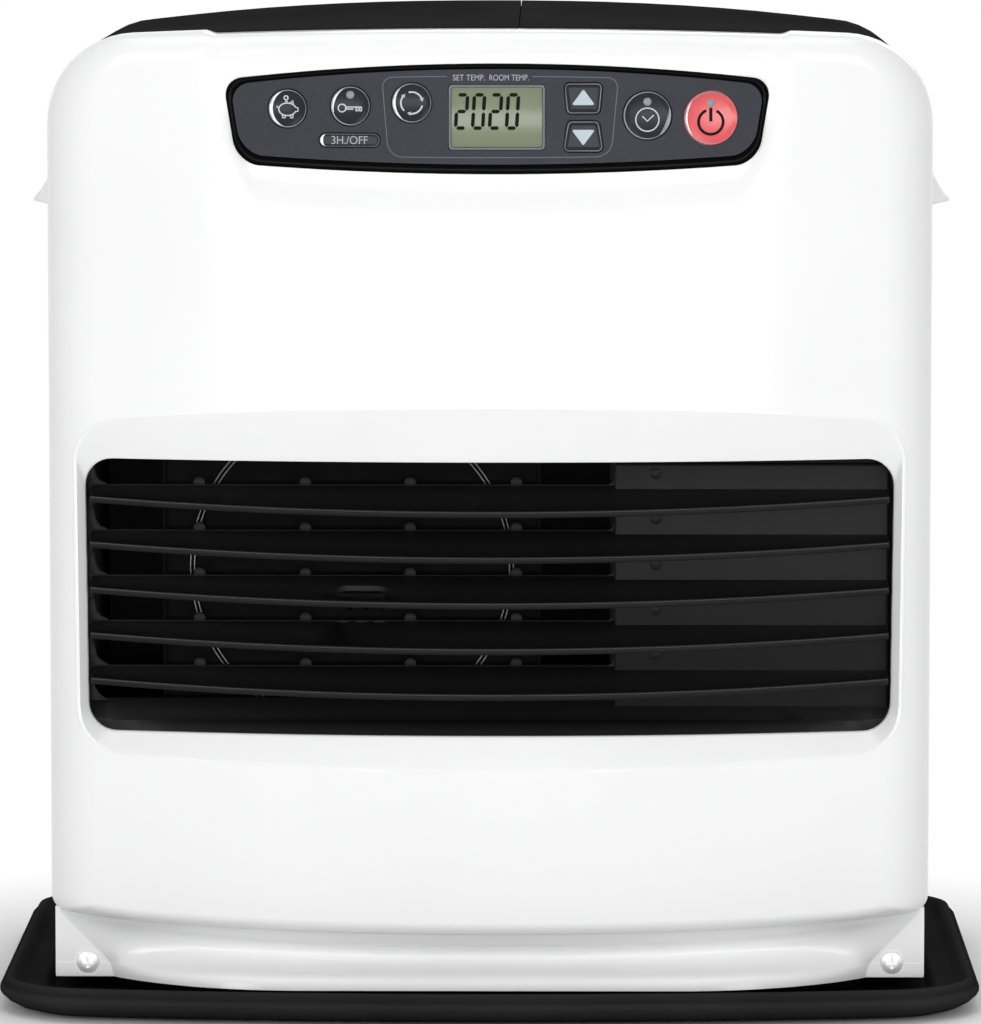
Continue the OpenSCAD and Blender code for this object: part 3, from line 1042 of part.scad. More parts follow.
module control_harness() color([0.75, 0.75, 0.72]) {
    y0 = board_y + board_t + 0.1;
    y1 = bracket_y - 5 - seat_gap - board_t - 0.1;
    along_x(burner_x + 48, burner_x + 62) polygon([
        [y0, bezel_z0 + 6], [y0, bezel_z0 + 12], [y0 + 4, bezel_z0 + 12], [y0 + 8, bezel_z0 + 8], [y1 - 8, duct_z1 + 78],
        [y1, duct_z1 + 76], [y1, duct_z1 + 70], [y1 - 3, duct_z1 + 70], [y1 - 9, duct_z1 + 76], [y0 + 6, bezel_z0 + 6]]);
}
module cord_inlet() color(black) translate([-side_x + 39, 0, foot_z + 29.3]) rotate([90, 0, 0]) difference() {
    rotate_extrude($fn = 48) polygon([[0, -rear_y - 6], [8, -rear_y - 6], [9.5, -rear_y - 4], [10, -rear_y - 0.05],
                                      [7.1, -rear_y - 0.05], [7.1, -flange_y + 0.1], [8.6, -flange_y + 0.2],
                                      [6.6, -flange_y + 7], [0, -flange_y + 7]]);
    rod(3.6, -rear_y - 7, -flange_y + 8, 32);
}

base_tray();
base_plate();
tray_screws();
front_panel();
front_screws();
left_side_panel();
right_side_panel();
left_grip();
right_grip();
rear_panel();
cabinet_screws();
top_cover();
tank_lid();
lid_hinge_pins();
louvre_grille();
burner_screen();
screen_ring();
control_bezel();
control_fascia();
lcd_display();
control_board();
eco_button();
lock_button();
cycle_button();
off_button();
up_button();
down_button();
timer_button();
power_button();
fuel_tank();
tank_handle();
tank_cap();
cap_valve();
fuel_gauge();
fuel_sump();
fuel_strainer();
fuel_pump();
fuel_pipe();
burner_pot();
burner_head();
igniter();
flame_sensor();
combustion_chamber();
air_duct();
fan_shroud();
fan_motor();
warm_air_fan();
fan_guard();
filter_rails();
air_filter();
blower_housing();
blower_impeller();
ignition_coil();
tank_partition();
board_bracket();
main_board();
overheat_thermostat();
tip_switch();
control_harness();
cord_inlet();
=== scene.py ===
import json
from math import acos, asin, atan2, ceil, cos, pi, radians, sin, sqrt, tan
import bmesh
import bpy
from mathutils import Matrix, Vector


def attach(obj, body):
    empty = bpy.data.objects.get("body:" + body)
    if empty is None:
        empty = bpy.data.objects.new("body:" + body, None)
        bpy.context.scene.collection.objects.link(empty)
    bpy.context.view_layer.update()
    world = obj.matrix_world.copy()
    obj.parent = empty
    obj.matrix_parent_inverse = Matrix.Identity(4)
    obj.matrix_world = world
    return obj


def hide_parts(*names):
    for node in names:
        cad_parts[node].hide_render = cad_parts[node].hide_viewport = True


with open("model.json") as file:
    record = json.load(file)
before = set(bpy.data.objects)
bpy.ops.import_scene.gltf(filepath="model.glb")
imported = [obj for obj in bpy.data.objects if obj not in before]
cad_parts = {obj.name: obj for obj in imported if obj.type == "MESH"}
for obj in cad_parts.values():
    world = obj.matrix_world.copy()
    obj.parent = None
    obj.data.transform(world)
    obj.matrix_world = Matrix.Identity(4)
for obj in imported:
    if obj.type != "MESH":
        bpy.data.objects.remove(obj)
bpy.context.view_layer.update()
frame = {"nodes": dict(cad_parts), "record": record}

nodes = frame["nodes"]
home = {n: b for b, ns in frame["record"]["behaviour"]["bodies"].items() for n in ns}
slot_of = {s["node"]: s["material_slot"] for s in frame["record"]["subparts"]}
MM = 0.001

# The camera stands where the photograph was taken from
camera_data = bpy.data.cameras.new("camera")
camera_data.lens = 258.1
camera_data.clip_end = 60
camera = bpy.data.objects.new("camera", camera_data)
camera.location = (0.029, -3.234, 0.534)
camera.rotation_euler = (radians(84.21), 0, radians(0.52))
bpy.context.scene.collection.objects.link(camera)
bpy.context.scene.camera = camera

# Sizes of the heater, in millimetres; y is negative at the front
FRONT = -119.5
FACE_R = 680.0
# The body's half width and top; the front moulding's wall and how far it reaches back
BODY = 190.7
TOP = 424.5
WALL = 2.4
SEAM = 30.0
# Radii to which the panel's edge is rolled; its foot edge: height, corner and how far it hangs in the middle
SIDE_ROLL, TOP_ROLL, FOOT_ROLL = 20, 12, 6
FOOT_EDGE, FOOT_CORNER, FOOT_CROWN = 40, 7, 5.1
# The relief round the controls: middle, half width, foot and depth
RELIEF_X, RELIEF_HALF, RELIEF_FOOT, RELIEF_DEEP = 4, 104.8, 350, 1.4
# The outlet: half width, foot and top, and the middle from which its outline is pushed outwards
OPEN_X = 174.1
OPEN_Z = (120.6, 238.4)
OUTLET_MID = 180
# Skirt and gussets
FOOT = 11.2
SKIRT_WALL = 1.6
GUSSET_Y = -80.5
GUSSET_X = 188.6
GUSSET_TOP = 41.9
GUSSET_CUT = (-90, -70)
SCREW = (174.6, 17.7)
# The grille's rear wall and the board behind the controls
GRILLE_Y = -72.5
BOARD_Y = -100.0
# Control panel: half width, foot and top, and middle
BEZEL_HALF = 116.8
BEZEL_Z = (366.2, 402)
BEZEL_X = 3.5
PANEL_CUT = (-130, -95)
# The keys: middle height, and how far the foot is drawn in at each side
KEY_X = 40.1
KEYS = {"up_button": (394.4, 1.2), "down_button": (378.3, -0.4)}
PILL = (-59.1, 376.6)
# The display's window: left, right, foot and top; a digit's width, height and line
WINDOW = (-17.2, 24, 372.45, 400.35)
DIGIT = (4.3, 14.1, 1.55)


def bow(x):
    return FACE_R - sqrt(FACE_R * FACE_R - x * x)


# Workbench
def clear():
    if bpy.context.object and bpy.context.object.mode != "OBJECT":
        bpy.ops.object.mode_set(mode="OBJECT")
    bpy.ops.object.select_all(action="DESELECT")


def pick(piece):
    clear()
    piece.select_set(True)
    bpy.context.view_layer.objects.active = piece
    return piece


def named(name):
    piece = bpy.context.object
    piece.name = name
    piece.data.name = name
    return piece


def settle(piece):
    pick(piece)
    bpy.ops.object.transform_apply(location=True, rotation=True, scale=True)
    return piece


def edit(piece, kind="FACE", chosen=None):
    """Opens a piece in edit mode with all of it selected, or only what chosen says"""
    pick(piece)
    bpy.ops.object.mode_set(mode="EDIT")
    bpy.ops.mesh.select_mode(type=kind)
    bpy.ops.mesh.select_all(action="SELECT" if chosen is None else "DESELECT")
    if chosen:
        bm = bmesh.from_edit_mesh(piece.data)
        for part in {"FACE": bm.faces, "EDGE": bm.edges, "VERT": bm.verts}[kind]:
            part.select_set(bool(chosen(part)))
        bm.select_flush_mode()
        bmesh.update_edit_mesh(piece.data)


def leave(outwards=False):
    """Leaves edit mode, with the normals turned outwards where asked"""
    if outwards:
        bpy.ops.mesh.normals_make_consistent(inside=False)
    bpy.ops.object.mode_set(mode="OBJECT")


def block(name, x, y, z):
    clear()
    bpy.ops.mesh.primitive_cube_add(size=1, location=[MM * sum(r) / 2 for r in (x, y, z)],
                                    scale=[MM * (r[1] - r[0]) for r in (x, y, z)])
    return settle(named(name))


def round_bar(name, at, r, y0, y1, n):
    """A round bar along Y"""
    clear()
    bpy.ops.mesh.primitive_cylinder_add(
        vertices=n, radius=r * MM, depth=(y1 - y0) * MM, rotation=(pi / 2, 0, 0),
        location=(at[0] * MM, (y0 + y1) / 2 * MM, at[1] * MM))
    return settle(named(name))


def grid(name, across, down, place):
    """A sheet whose corner points are placed one by one, by their column and row"""
    clear()
    bpy.ops.mesh.primitive_grid_add(x_subdivisions=across, y_subdivisions=down, size=2)
    piece = named(name)
    for v in piece.data.vertices:
        v.co = Vector(place(round((v.co.x + 1) / 2 * across), round((v.co.y + 1) / 2 * down))) * MM
    return piece


def grow_rim(piece, rings):
    """Extrudes the selected rim onto each ring in turn; each vertex knows its number on the ring"""
    for there in rings:
        bpy.ops.mesh.extrude_edges_move()
        bm = bmesh.from_edit_mesh(piece.data)
        number = bm.verts.layers.int["number"]
        for v in bm.verts:
            if v.select:
                v.co = Vector(there[v[number]]) * MM
        bmesh.update_edit_mesh(piece.data)


def ring_body(name, rings, joined=False):
    """A body through a row of rings, closed at its ends or joined to itself"""
    clear()
    bpy.ops.mesh.primitive_circle_add(vertices=len(rings[0]), fill_type="NOTHING")
    piece = named(name)
    number = piece.data.attributes.new("number", "INT", "POINT")
    for i, v in enumerate(piece.data.vertices):
        v.co = Vector(rings[0][i]) * MM
        number.data[i].value = i
    edit(piece, "EDGE")
    grow_rim(piece, list(rings[1:]) + ([rings[0]] if joined else []))
    bpy.ops.mesh.select_all(action="SELECT")
    if joined:
        bpy.ops.mesh.remove_doubles(threshold=1e-6)
    else:
        bpy.ops.mesh.fill_holes(sides=0)
    leave(outwards=True)
    piece.data.attributes.remove(piece.data.attributes["number"])
    return piece


def plate(name, outline, y0, y1):
    """A flat plate between two places along Y"""
    return ring_body(name, [[(x, y, z) for x, z in outline] for y in (y0, y1)])


def slices(piece, xs):
    """Cuts through a piece at the given x, so that it can follow the bow"""
    edit(piece)
    for x in xs:
        bpy.ops.mesh.select_all(action="SELECT")
        bpy.ops.mesh.bisect(plane_co=(x * MM, 0, 0), plane_no=(1, 0, 0))
    leave()


def bowed_plate(name, outline, d0, d1, step):
    """A plate between two depths behind the bowed face"""
    piece = plate(name, outline, FRONT + d0, FRONT + d1)
    xs = [p[0] for p in outline]
    n = ceil((max(xs) - min(xs)) / step)
    slices(piece, [min(xs) + (max(xs) - min(xs)) * i / n for i in range(1, n)])
    for v in piece.data.vertices:
        v.co.y += bow(v.co.x / MM) * MM
    return piece


def modify(piece, kind, **values):
    pick(piece)
    modifier = piece.modifiers.new(kind.lower(), kind)
    for key, value in values.items():
        setattr(modifier, key, value)
    bpy.ops.object.modifier_apply(modifier=modifier.name)
    return piece


def carve(piece, tool):
    """Cuts the tool out of a piece"""
    modify(piece, "BOOLEAN", object=tool, operation="DIFFERENCE", solver="MANIFOLD")
    bpy.data.objects.remove(tool)
    return piece


def join(name, *pieces):
    pick(pieces[0])
    for other in pieces[1:]:
        other.select_set(True)
    bpy.ops.object.join()
    return named(name)


def soften(piece, width, segments=2, angle=25):
    return modify(piece, "BEVEL", width=width * MM, segments=segments, limit_method="ANGLE",
                  angle_limit=radians(angle), miter_outer="MITER_ARC", use_clamp_overlap=True)


def smooth(piece, angle, weighted=False):
    pick(piece)
    bpy.ops.object.shade_smooth_by_angle(angle=radians(angle))
    if weighted:
        modify(piece, "WEIGHTED_NORMAL", keep_sharp=True, weight=60)
    return piece


def fit(piece, material, *stands_for, body=None, slot=None):
    """Gives a finished piece its material and its body, and hides the nodes that it stands for"""
    piece.data.materials.clear()
    piece.data.materials.append(material)
    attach(piece, body or home[stands_for[0]])
    if stands_for:
        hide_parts(*stands_for)
    return piece


def dress(node, material):
    """A merged and smoothed copy of a frame solid"""
    piece = bpy.data.objects.new(node + "_finish", nodes[node].data.copy())
    bpy.context.scene.collection.objects.link(piece)
    edit(piece)
    bpy.ops.mesh.remove_doubles(threshold=2e-6)
    bpy.ops.mesh.customdata_custom_splitnormals_clear()
    leave()
    smooth(piece, 32, weighted=True)
    return fit(piece, material, node)


# Outlines, as (x, z)
def arc(cx, cz, r, a0, a1, n):
    turn = [radians(a0 + (a1 - a0) * i / n) for i in range(n + 1)]
    return [(cx + r * cos(t), cz + r * sin(t)) for t in turn]


def circle(cx, cz, r, n=56):
    return arc(cx, cz, r, 0, 360, n)[:-1]


def corners(x0, x1, z0, z1):
    """The corners of a rectangle"""
    return [(x0, z0), (x1, z0), (x1, z1), (x0, z1)]


def crowned(hw, z0, z1, low, high, r0, r1, across=28):
    """Rounded rectangle whose top and bottom edges are crowned by high and low at the middle"""
    span, turn = [i / across for i in range(1, across)], 8
    foot = [(-hw + r0 + 2 * (hw - r0) * s, z0) for s in span]
    head = [(hw - r1 - 2 * (hw - r1) * s, z1) for s in span]
    right = [(hw, z0 + r0 + (z1 - r1 - z0 - r0) * s / 4) for s in (1, 2, 3)]
    left = [(-hw, z1 - r1 + (z0 + r0 - z1 + r1) * s / 4) for s in (1, 2, 3)]
    points = arc(-hw + r0, z0 + r0, r0, 180, 270, turn) + foot
    points += arc(hw - r0, z0 + r0, r0, 270, 360, turn) + right
    points += arc(hw - r1, z1 - r1, r1, 0, 90, turn) + head
    points += arc(-hw + r1, z1 - r1, r1, 90, 180, turn) + left
    middle = (z0 + z1) / 2
    return [(x, z + (high if z > middle else -low) * (1 - (x / hw) ** 2)) for x, z in points]


def rounded(points, radius, n=6):
    """An outline with round corners, of one radius or of one radius each"""
    out = []
    k = len(points)
    for i, p in enumerate(points):
        r = radius[i] if isinstance(radius, list) else radius
        if not r:
            out.append(tuple(p))
            continue
        a, p, b = (Vector((*points[j % k], 0)) for j in (i - 1, i, i + 1))
        u, v = (a - p).normalized(), (b - p).normalized()
        half = acos(max(-1, min(1, u.dot(v)))) / 2
        c = p + (u + v).normalized() * r / sin(half)
        s, e = p + u * r / tan(half) - c, p + v * r / tan(half) - c
        a0 = atan2(s.y, s.x)
        turn = (atan2(e.y, e.x) - a0 + pi) % (2 * pi) - pi
        out += [(c.x + r * cos(a0 + turn * q / n), c.y + r * sin(a0 + turn * q / n)) for q in range(n + 1)]
    return out


def pushed(x, z, grow):
    """A point of the outlet's outline, pushed away from the outlet's middle"""
    d = Vector((x, z - OUTLET_MID)).normalized() * grow
    return x + d.x, z + d.y


def on_face(outline, depth, grow=0.0):
    """An outline at a depth behind the bowed face, pushed outwards where asked"""
    spots = [pushed(x, z, grow) if grow else (x, z) for x, z in outline]
    return [(px, FRONT + depth + bow(x), pz) for (px, pz), (x, z) in zip(spots, outline)]


# Materials
def colour_of(rgb, gain=1.0):
    return tuple(min(1.0, c * gain) for c in rgb) + (1.0,)


def node_in(tree, kind, **inputs):
    """A shader node with its inputs set"""
    node = tree.nodes.new(kind)
    for key, value in inputs.items():
        node.inputs[key.replace("_", " ")].default_value = value
    return node


def finish(name, rgb, rough, metal=0.0, mottle=0.03, patch=14.0, grain=1200.0, bump=0.1, height=0.00003,
           rough_swing=0.05, stretch=(1, 1, 1), coat=0.0, speck=None, edge_wear_and_sheen=0.0, shine=0.5):
    """Mottled colour, uneven gloss and a fine grain, with flecks and pale edges where asked; the pale edges are
    partly wear and partly a painted highlight
    """
    material = bpy.data.materials.new(name)
    material.use_nodes = True
    tree = material.node_tree
    shader = tree.nodes["Principled BSDF"]

    def link(a, b):
        tree.links.new(a, b)

    place = node_in(tree, "ShaderNodeMapping", Scale=stretch)
    link(tree.nodes.new("ShaderNodeTexCoord").outputs["Object"], place.inputs["Vector"])

    def noise(scale, detail):
        node = node_in(tree, "ShaderNodeTexNoise", Scale=scale, Detail=detail)
        link(place.outputs["Vector"], node.inputs["Vector"])
        return node.outputs["Fac"]

    def graded(source, start, end, first=(0, 0, 0, 1), last=(1, 1, 1, 1)):
        node = tree.nodes.new("ShaderNodeValToRGB")
        stops = node.color_ramp.elements
        stops[0].position = start
        stops[1].position = end
        stops[0].color = first
        stops[1].color = last
        link(source, node.inputs["Fac"])
        return node.outputs["Color"]

    def over(below, factor, colour):
        mix = tree.nodes.new("ShaderNodeMix")
        mix.data_type = "RGBA"
        link(factor, mix.inputs["Factor"])
        link(below, mix.inputs["A"])
        mix.inputs["B"].default_value = colour
        return mix.outputs["Result"]

    base = graded(noise(patch, 5.0), 0.3, 0.7, colour_of(rgb, 1 - mottle), colour_of(rgb, 1 + mottle))
    if speck:
        fleck, start, scale = speck
        base = over(base, graded(noise(scale, 1.0), start, min(1.0, start + 0.06)), (*fleck, 1.0))
    # pale convex edges found by pointiness: wear, and a painted highlight on the edges
    if edge_wear_and_sheen:
        edge = tree.nodes.new("ShaderNodeNewGeometry").outputs["Pointiness"]
        wear_and_sheen_edges = graded(edge, 0.505, 0.56, last=(edge_wear_and_sheen, edge_wear_and_sheen, edge_wear_and_sheen, 1.0))
        base = over(base, wear_and_sheen_edges, colour_of([c * 0.5 + 0.4 for c in rgb]))
    link(base, shader.inputs["Base Color"])
    swing = node_in(tree, "ShaderNodeMapRange", To_Min=max(0.02, rough - rough_swing),
                    To_Max=min(1.0, rough + rough_swing))
    link(noise(patch * 6, 4.0), swing.inputs["Value"])
    link(swing.outputs["Result"], shader.inputs["Roughness"])
    relief = node_in(tree, "ShaderNodeBump", Strength=bump, Distance=height)
    link(noise(grain, 2.0), relief.inputs["Height"])
    link(relief.outputs["Normal"], shader.inputs["Normal"])
    shader.inputs["Metallic"].default_value = metal
    shader.inputs["Specular IOR Level"].default_value = shine
    shader.inputs["Coat Weight"].default_value = coat
    return material


WHITE = (0.86, 0.86, 0.865)
white_moulding = finish("white_moulding", WHITE, 0.15, mottle=0.012, grain=1500, bump=0.12, height=0.00004)
white_sheet = finish("white_powder_coat", (0.84, 0.84, 0.845), 0.42, mottle=0.015, grain=2200, bump=0.2,
                     height=0.00004)
white_grip = finish("white_grip_plastic", WHITE, 0.36, mottle=0.012, grain=1500, bump=0.1)
tray_black = finish("satin_black_tray", (0.017, 0.017, 0.0175), 0.5, mottle=0.15, grain=2600, bump=0.25,
                    height=0.00004, edge_wear_and_sheen=0.03, shine=0.0)
top_black = finish("grained_black_top", (0.021, 0.021, 0.0215), 0.66, mottle=0.12, grain=2400, bump=0.35,
                   height=0.00005, edge_wear_and_sheen=0.01, shine=0.0)
nose_black = finish("polished_black_nose", (0.004, 0.004, 0.0042), 0.25, mottle=0.15, grain=2600, bump=0.1,
                    shine=0.35)
# the grille's pale edges are a painted highlight along the noses, tabs and windows
grille_black = finish("satin_black_grille", (0.004, 0.004, 0.0042), 0.32, mottle=0.15, grain=2600, bump=0.3,
                      height=0.00004, speck=((0.015, 0.015, 0.015), 0.74, 2100), edge_wear_and_sheen=0.05, shine=0.065)
bezel_black = finish("gloss_black_bezel", (0.0015, 0.0015, 0.0017), 0.12, mottle=0.1, grain=400, bump=0.03,
                     rough_swing=0.02, shine=0.025)
fascia_slate = finish("slate_fascia", (0.035, 0.038, 0.048), 0.42, mottle=0.06, grain=2600, bump=0.25,
                      speck=((0.1, 0.105, 0.125), 0.68, 2600), shine=0.12)
button_slate = finish("slate_button", (0.021, 0.022, 0.028), 0.2, mottle=0.1, grain=900, bump=0.04,
                      rough_swing=0.03, shine=0.1)
button_red = finish("coral_red_button", (0.68, 0.085, 0.095), 0.2, mottle=0.04, grain=900, bump=0.04,
                    rough_swing=0.03, shine=0.4)
mark_pale = finish("pale_print", (0.5, 0.56, 0.62), 0.4, mottle=0.05, grain=3000, bump=0.1)
line_dim = finish("grey_blue_print", (0.085, 0.115, 0.135), 0.45, mottle=0.08, grain=3000, bump=0.1)
word_pale = finish("silver_print", (0.33, 0.35, 0.37), 0.45, mottle=0.05, grain=3000, bump=0.1)
arrow_pale = finish("pale_blue_print", (0.43, 0.52, 0.57), 0.4, mottle=0.03, grain=3000, bump=0.1)
# painted highlight: an uneven pale rim along the bevels of the keys and the pill
rim_highlight_grey = finish("silver_rim_highlight", (0.13, 0.155, 0.17), 0.3, mottle=0.35, patch=90, grain=3000, bump=0.05)
# painted shade: the display's frame is dark to stand for the shade in its recess
frame_shade_grey = finish("display_frame_shade", (0.06, 0.072, 0.078), 0.3, mottle=0.05, grain=3000, bump=0.05)
mark_black = finish("black_print", (0.012, 0.008, 0.008), 0.5, mottle=0.05, grain=3000, bump=0.1,
                    shine=0.05)
lamp_grey = finish("unlit_lamp", (0.23, 0.24, 0.26), 0.25, mottle=0.1, grain=1500, bump=0.05, shine=0.3)
# painted highlight: pale blue-grey for the ring of light on the buttons' rims
rim_highlight_blue = finish("pale_blue_rim_highlight", (0.2, 0.24, 0.27), 0.25, mottle=0.25, patch=120, grain=2000, bump=0.06)
# painted highlight: near-white colour for the glints on the buttons' rims
painted_glint = finish("painted_glint", (0.92, 0.94, 0.95), 0.2, mottle=0.2, patch=90, grain=2000, bump=0.05)
lcd_glass = finish("display_glass", (0.2, 0.222, 0.145), 0.15, mottle=0.03, patch=30, grain=3500, bump=0.05,
                   rough_swing=0.03, shine=0.25)
lcd_ink = finish("display_segments", (0.006, 0.007, 0.006), 0.45, mottle=0.1, grain=3500, bump=0.05,
                 shine=0.05)
zinc = finish("zinc_plate", (0.66, 0.66, 0.65), 0.27, metal=1.0, mottle=0.08, patch=160, grain=1800,
              bump=0.1, rough_swing=0.09)
plated_head = finish("bright_plated_head", (0.88, 0.88, 0.87), 0.42, metal=0.45, mottle=0.03, patch=160,
                     grain=1800, bump=0.05)
bright_steel = finish("rolled_bright_steel", (0.6, 0.6, 0.61), 0.24, metal=1.0, mottle=0.06, patch=30,
                      grain=900, bump=0.15, stretch=(1, 1, 12), rough_swing=0.1)
hot_steel = finish("heat_tinted_steel", (0.36, 0.29, 0.24), 0.35, metal=1.0, mottle=0.4, patch=25,
                   grain=1200, bump=0.2, rough_swing=0.12)
# near black: the screen, and the sheet of the chamber and duct inside the outlet
dark_screen = finish("near_black_screen", (0.0022, 0.0022, 0.0022), 0.6, mottle=0.25, patch=20, grain=1800,
                     bump=0.4, shine=0.06)
near_black_sheet = finish("near_black_duct_sheet", (0.006, 0.0057, 0.0055), 0.5, mottle=0.3, patch=18, grain=1200,
                  bump=0.3, shine=0.08)
# painted shade: the ring's metal is darkened for the shade behind the blades
shade_dimmed_ring = finish("shade_dimmed_ring_metal", (0.1, 0.1, 0.1), 0.3, metal=1.0, mottle=0.2, patch=60, grain=1200,
                   bump=0.15)
galvanised = finish("galvanised_sheet", (0.56, 0.58, 0.6), 0.36, metal=0.9, mottle=0.16, patch=55,
                    grain=700, bump=0.15, rough_swing=0.12)
tank_coat = finish("tank_plate", (0.5, 0.51, 0.52), 0.3, metal=0.8, mottle=0.06, patch=40, grain=1400,
                   bump=0.12)
brass = finish("turned_brass", (0.68, 0.5, 0.22), 0.25, metal=1.0, mottle=0.08, grain=1500, bump=0.1,
               stretch=(1, 1, 8))
copper = finish("drawn_copper", (0.7, 0.36, 0.2), 0.28, metal=1.0, mottle=0.14, patch=60, grain=1500,
                bump=0.1)
aluminium = finish("cast_aluminium", (0.56, 0.56, 0.57), 0.42, metal=1.0, mottle=0.08, patch=50, grain=1100,
                   bump=0.3)
fan_sheet = finish("fan_sheet", (0.68, 0.69, 0.7), 0.3, metal=1.0, mottle=0.05, patch=50, grain=900,
                   bump=0.15)
ceramic = finish("glazed_ceramic", (0.78, 0.75, 0.69), 0.28, mottle=0.05, grain=700, bump=0.12, coat=0.3)
cream_plastic = finish("cream_plastic", (0.62, 0.6, 0.54), 0.42, mottle=0.04, grain=1700, bump=0.15)
red_plastic = finish("red_cap_plastic", (0.42, 0.02, 0.02), 0.36, mottle=0.08, grain=1600, bump=0.18)
board_green = finish("board_lacquer", (0.012, 0.1, 0.045), 0.3, mottle=0.2, patch=120, grain=1800, bump=0.2,
                     coat=0.4, speck=((0.5, 0.4, 0.2), 0.73, 500))
ribbon_grey = finish("ribbon_lead", (0.42, 0.42, 0.4), 0.5, mottle=0.25, patch=700, stretch=(1, 0.02, 0.02),
                     grain=900, bump=0.5)
coil_black = finish("coil_resin", (0.02, 0.02, 0.022), 0.45, mottle=0.15, grain=1500, bump=0.25)
fine_black = finish("filter_black", (0.02, 0.02, 0.021), 0.55, mottle=0.15, grain=1900, bump=0.3, edge_wear_and_sheen=0.08)
wire_black = finish("coated_wire", (0.02, 0.02, 0.021), 0.32, mottle=0.1, grain=1700, bump=0.15, edge_wear_and_sheen=0.1)
rubber = finish("soft_rubber", (0.02, 0.02, 0.02), 0.7, mottle=0.2, grain=1500, bump=0.3)
gauge_white = finish("gauge_face", (0.7, 0.7, 0.66), 0.2, mottle=0.04, grain=1500, bump=0.06, coat=0.8)


# Front panel
def spread(low, high, step):
    """Even places from low on; the next stretch begins with high"""
    n = max(1, round((high - low) / step))
    return [low + (high - low) * i / n for i in range(n)]


# Columns and rows of the face lie closer where the relief round the controls rises
FACE_COLUMNS = (spread(-150, -128, 7) + spread(-128, -88, 1.6) + spread(-88, 92, 9) + spread(92, 134, 1.6)
                + spread(134, 150, 7))
FACE_ROWS = spread(0.03, 0.11, 0.02) + spread(0.11, 0.215, 0.0055) + spread(0.215, 0.975, 0.024) + [0.975]


def within(t):
    return max(0.0, min(1.0, t))


def ramp(t):
    t = within(t)
    return t * t * (3 - 2 * t)


def rise(x, hw):
    return min(1.0, abs(x) / hw) ** 2.6


def top_edge():
    """The crowned top edge with its round corners: x, z, normal x, normal z"""
    r, cr, turn = 39.0, 3000.0, 12
    cz = TOP - cr + sqrt((cr - r) ** 2 - (BODY - r) ** 2)
    tilt = asin((BODY - r) / (cr - r))
    angles = [pi - (pi / 2 - tilt) * i / turn for i in range(turn + 1)]
    left = [(-(BODY - r) + r * cos(a), cz + r * sin(a), cos(a), sin(a)) for a in angles]
    crest = [(x, TOP - cr + sqrt(cr * cr - x * x), x / cr, sqrt(1 - (x / cr) ** 2)) for x in FACE_COLUMNS]
    return left + crest + [(-x, z, -nx, nz) for x, z, nx, nz in reversed(left)]


def panel_ring(phi, rear=False):
    """The panel's edge, rolled back by phi: top left to right, right side, foot right to left, left side"""
    roll, back = 1 - cos(radians(phi)), 1 - sin(radians(phi))
    top, low = [], []
    for edge_x, edge_z, nx, nz in top_edge():
        deep = SIDE_ROLL * nx ** 2 + TOP_ROLL * nz ** 2
        foot_deep = SIDE_ROLL * nx ** 2 + FOOT_ROLL * nz ** 2
        x = edge_x - nx * deep * roll
        y = FRONT + bow(x)
        over = max(0.0, abs(edge_x) - (BODY - FOOT_CORNER))
        foot = FOOT_EDGE + FOOT_CORNER - sqrt(FOOT_CORNER ** 2 - over * over) + FOOT_ROLL * roll
        foot -= FOOT_CROWN * (1 - rise(edge_x, BODY - 10))
        top.append((x, y + (SEAM if rear else deep * back), edge_z - nz * deep * roll))
        low.append((x, y + (SEAM if rear else foot_deep * back), foot))

    def side(i):
        return [tuple(Vector(top[i]).lerp(Vector(low[i]), t)) for t in FACE_ROWS]

    return top, low, top + side(-1) + low[::-1] + side(0)[::-1]


def relief_share(x, z):
    """1 in the relief round the controls, which widens upwards in two steps, and 0 on the face"""
    off = x - RELIEF_X
    wide = RELIEF_HALF + 13.2 * within((z - 355) / 27) + 6 * within((z - 382) / 47)
    sides = ramp((wide - abs(off)) / 5.5 + 0.5)
    return sides * ramp((z - RELIEF_FOOT - 5 * (off / RELIEF_HALF) ** 2) / 13 + 0.5)


def panel_shell():
    top, low, rim = panel_ring(90)
    rows = [1.0] + FACE_ROWS[::-1] + [0.0]

    def place(i, j):
        spot = Vector(top[i]).lerp(Vector(low[i]), rows[j])
        x = Vector(top[i]).x
        return (x, FRONT + bow(x), spot.z)

    across, down = len(top) - 1, len(rows) - 1
    shell = grid("front_shell", across, down, place)
    number = shell.data.attributes.new("number", "INT", "POINT")
    for v in shell.data.vertices:
        j, i = divmod(v.index, across + 1)
        if i in (0, across) or j in (0, down):
            nearest = min(range(len(rim)), key=lambda k: (Vector(rim[k]) * MM - v.co).length_squared)
            number.data[v.index].value = nearest
    edit(shell, "EDGE", lambda e: e.is_boundary)
    grow_rim(shell, [panel_ring(phi)[2] for phi in range(80, -1, -10)] + [panel_ring(0, True)[2]])
    bpy.ops.mesh.select_all(action="SELECT")
    leave(outwards=True)
    shell.data.attributes.remove(shell.data.attributes["number"])
    sunk = [v.co - v.normal * RELIEF_DEEP * MM * relief_share(v.co.x / MM, v.co.z / MM)
            for v in shell.data.vertices]
    for v, spot in zip(shell.data.vertices, sunk):
        v.co = spot
    modify(shell, "SOLIDIFY", thickness=WALL * MM, offset=-1)
    edit(shell)
    leave(outwards=True)
    return shell


def tapered(points):
    """The outlet is a little narrower at its foot"""
    return [(x * (1 - 0.0075 * (OPEN_Z[1] - z) / 118), z) for x, z in points]


outer_outlet = tapered(crowned(OPEN_X + 3.6, 113.3, 254, 6.3, 8, 18, 17))
inner_outlet = tapered(crowned(OPEN_X, OPEN_Z[0], OPEN_Z[1], 0, 0, 12, 12))


def skin(x):
    """Depth of the moulding's surface, bowed and rolled off at the sides"""
    t = max(0.0, (abs(x) - BODY + SIDE_ROLL) / SIDE_ROLL)
    return bow(x) + SIDE_ROLL * (1 - sqrt(1 - t * t))


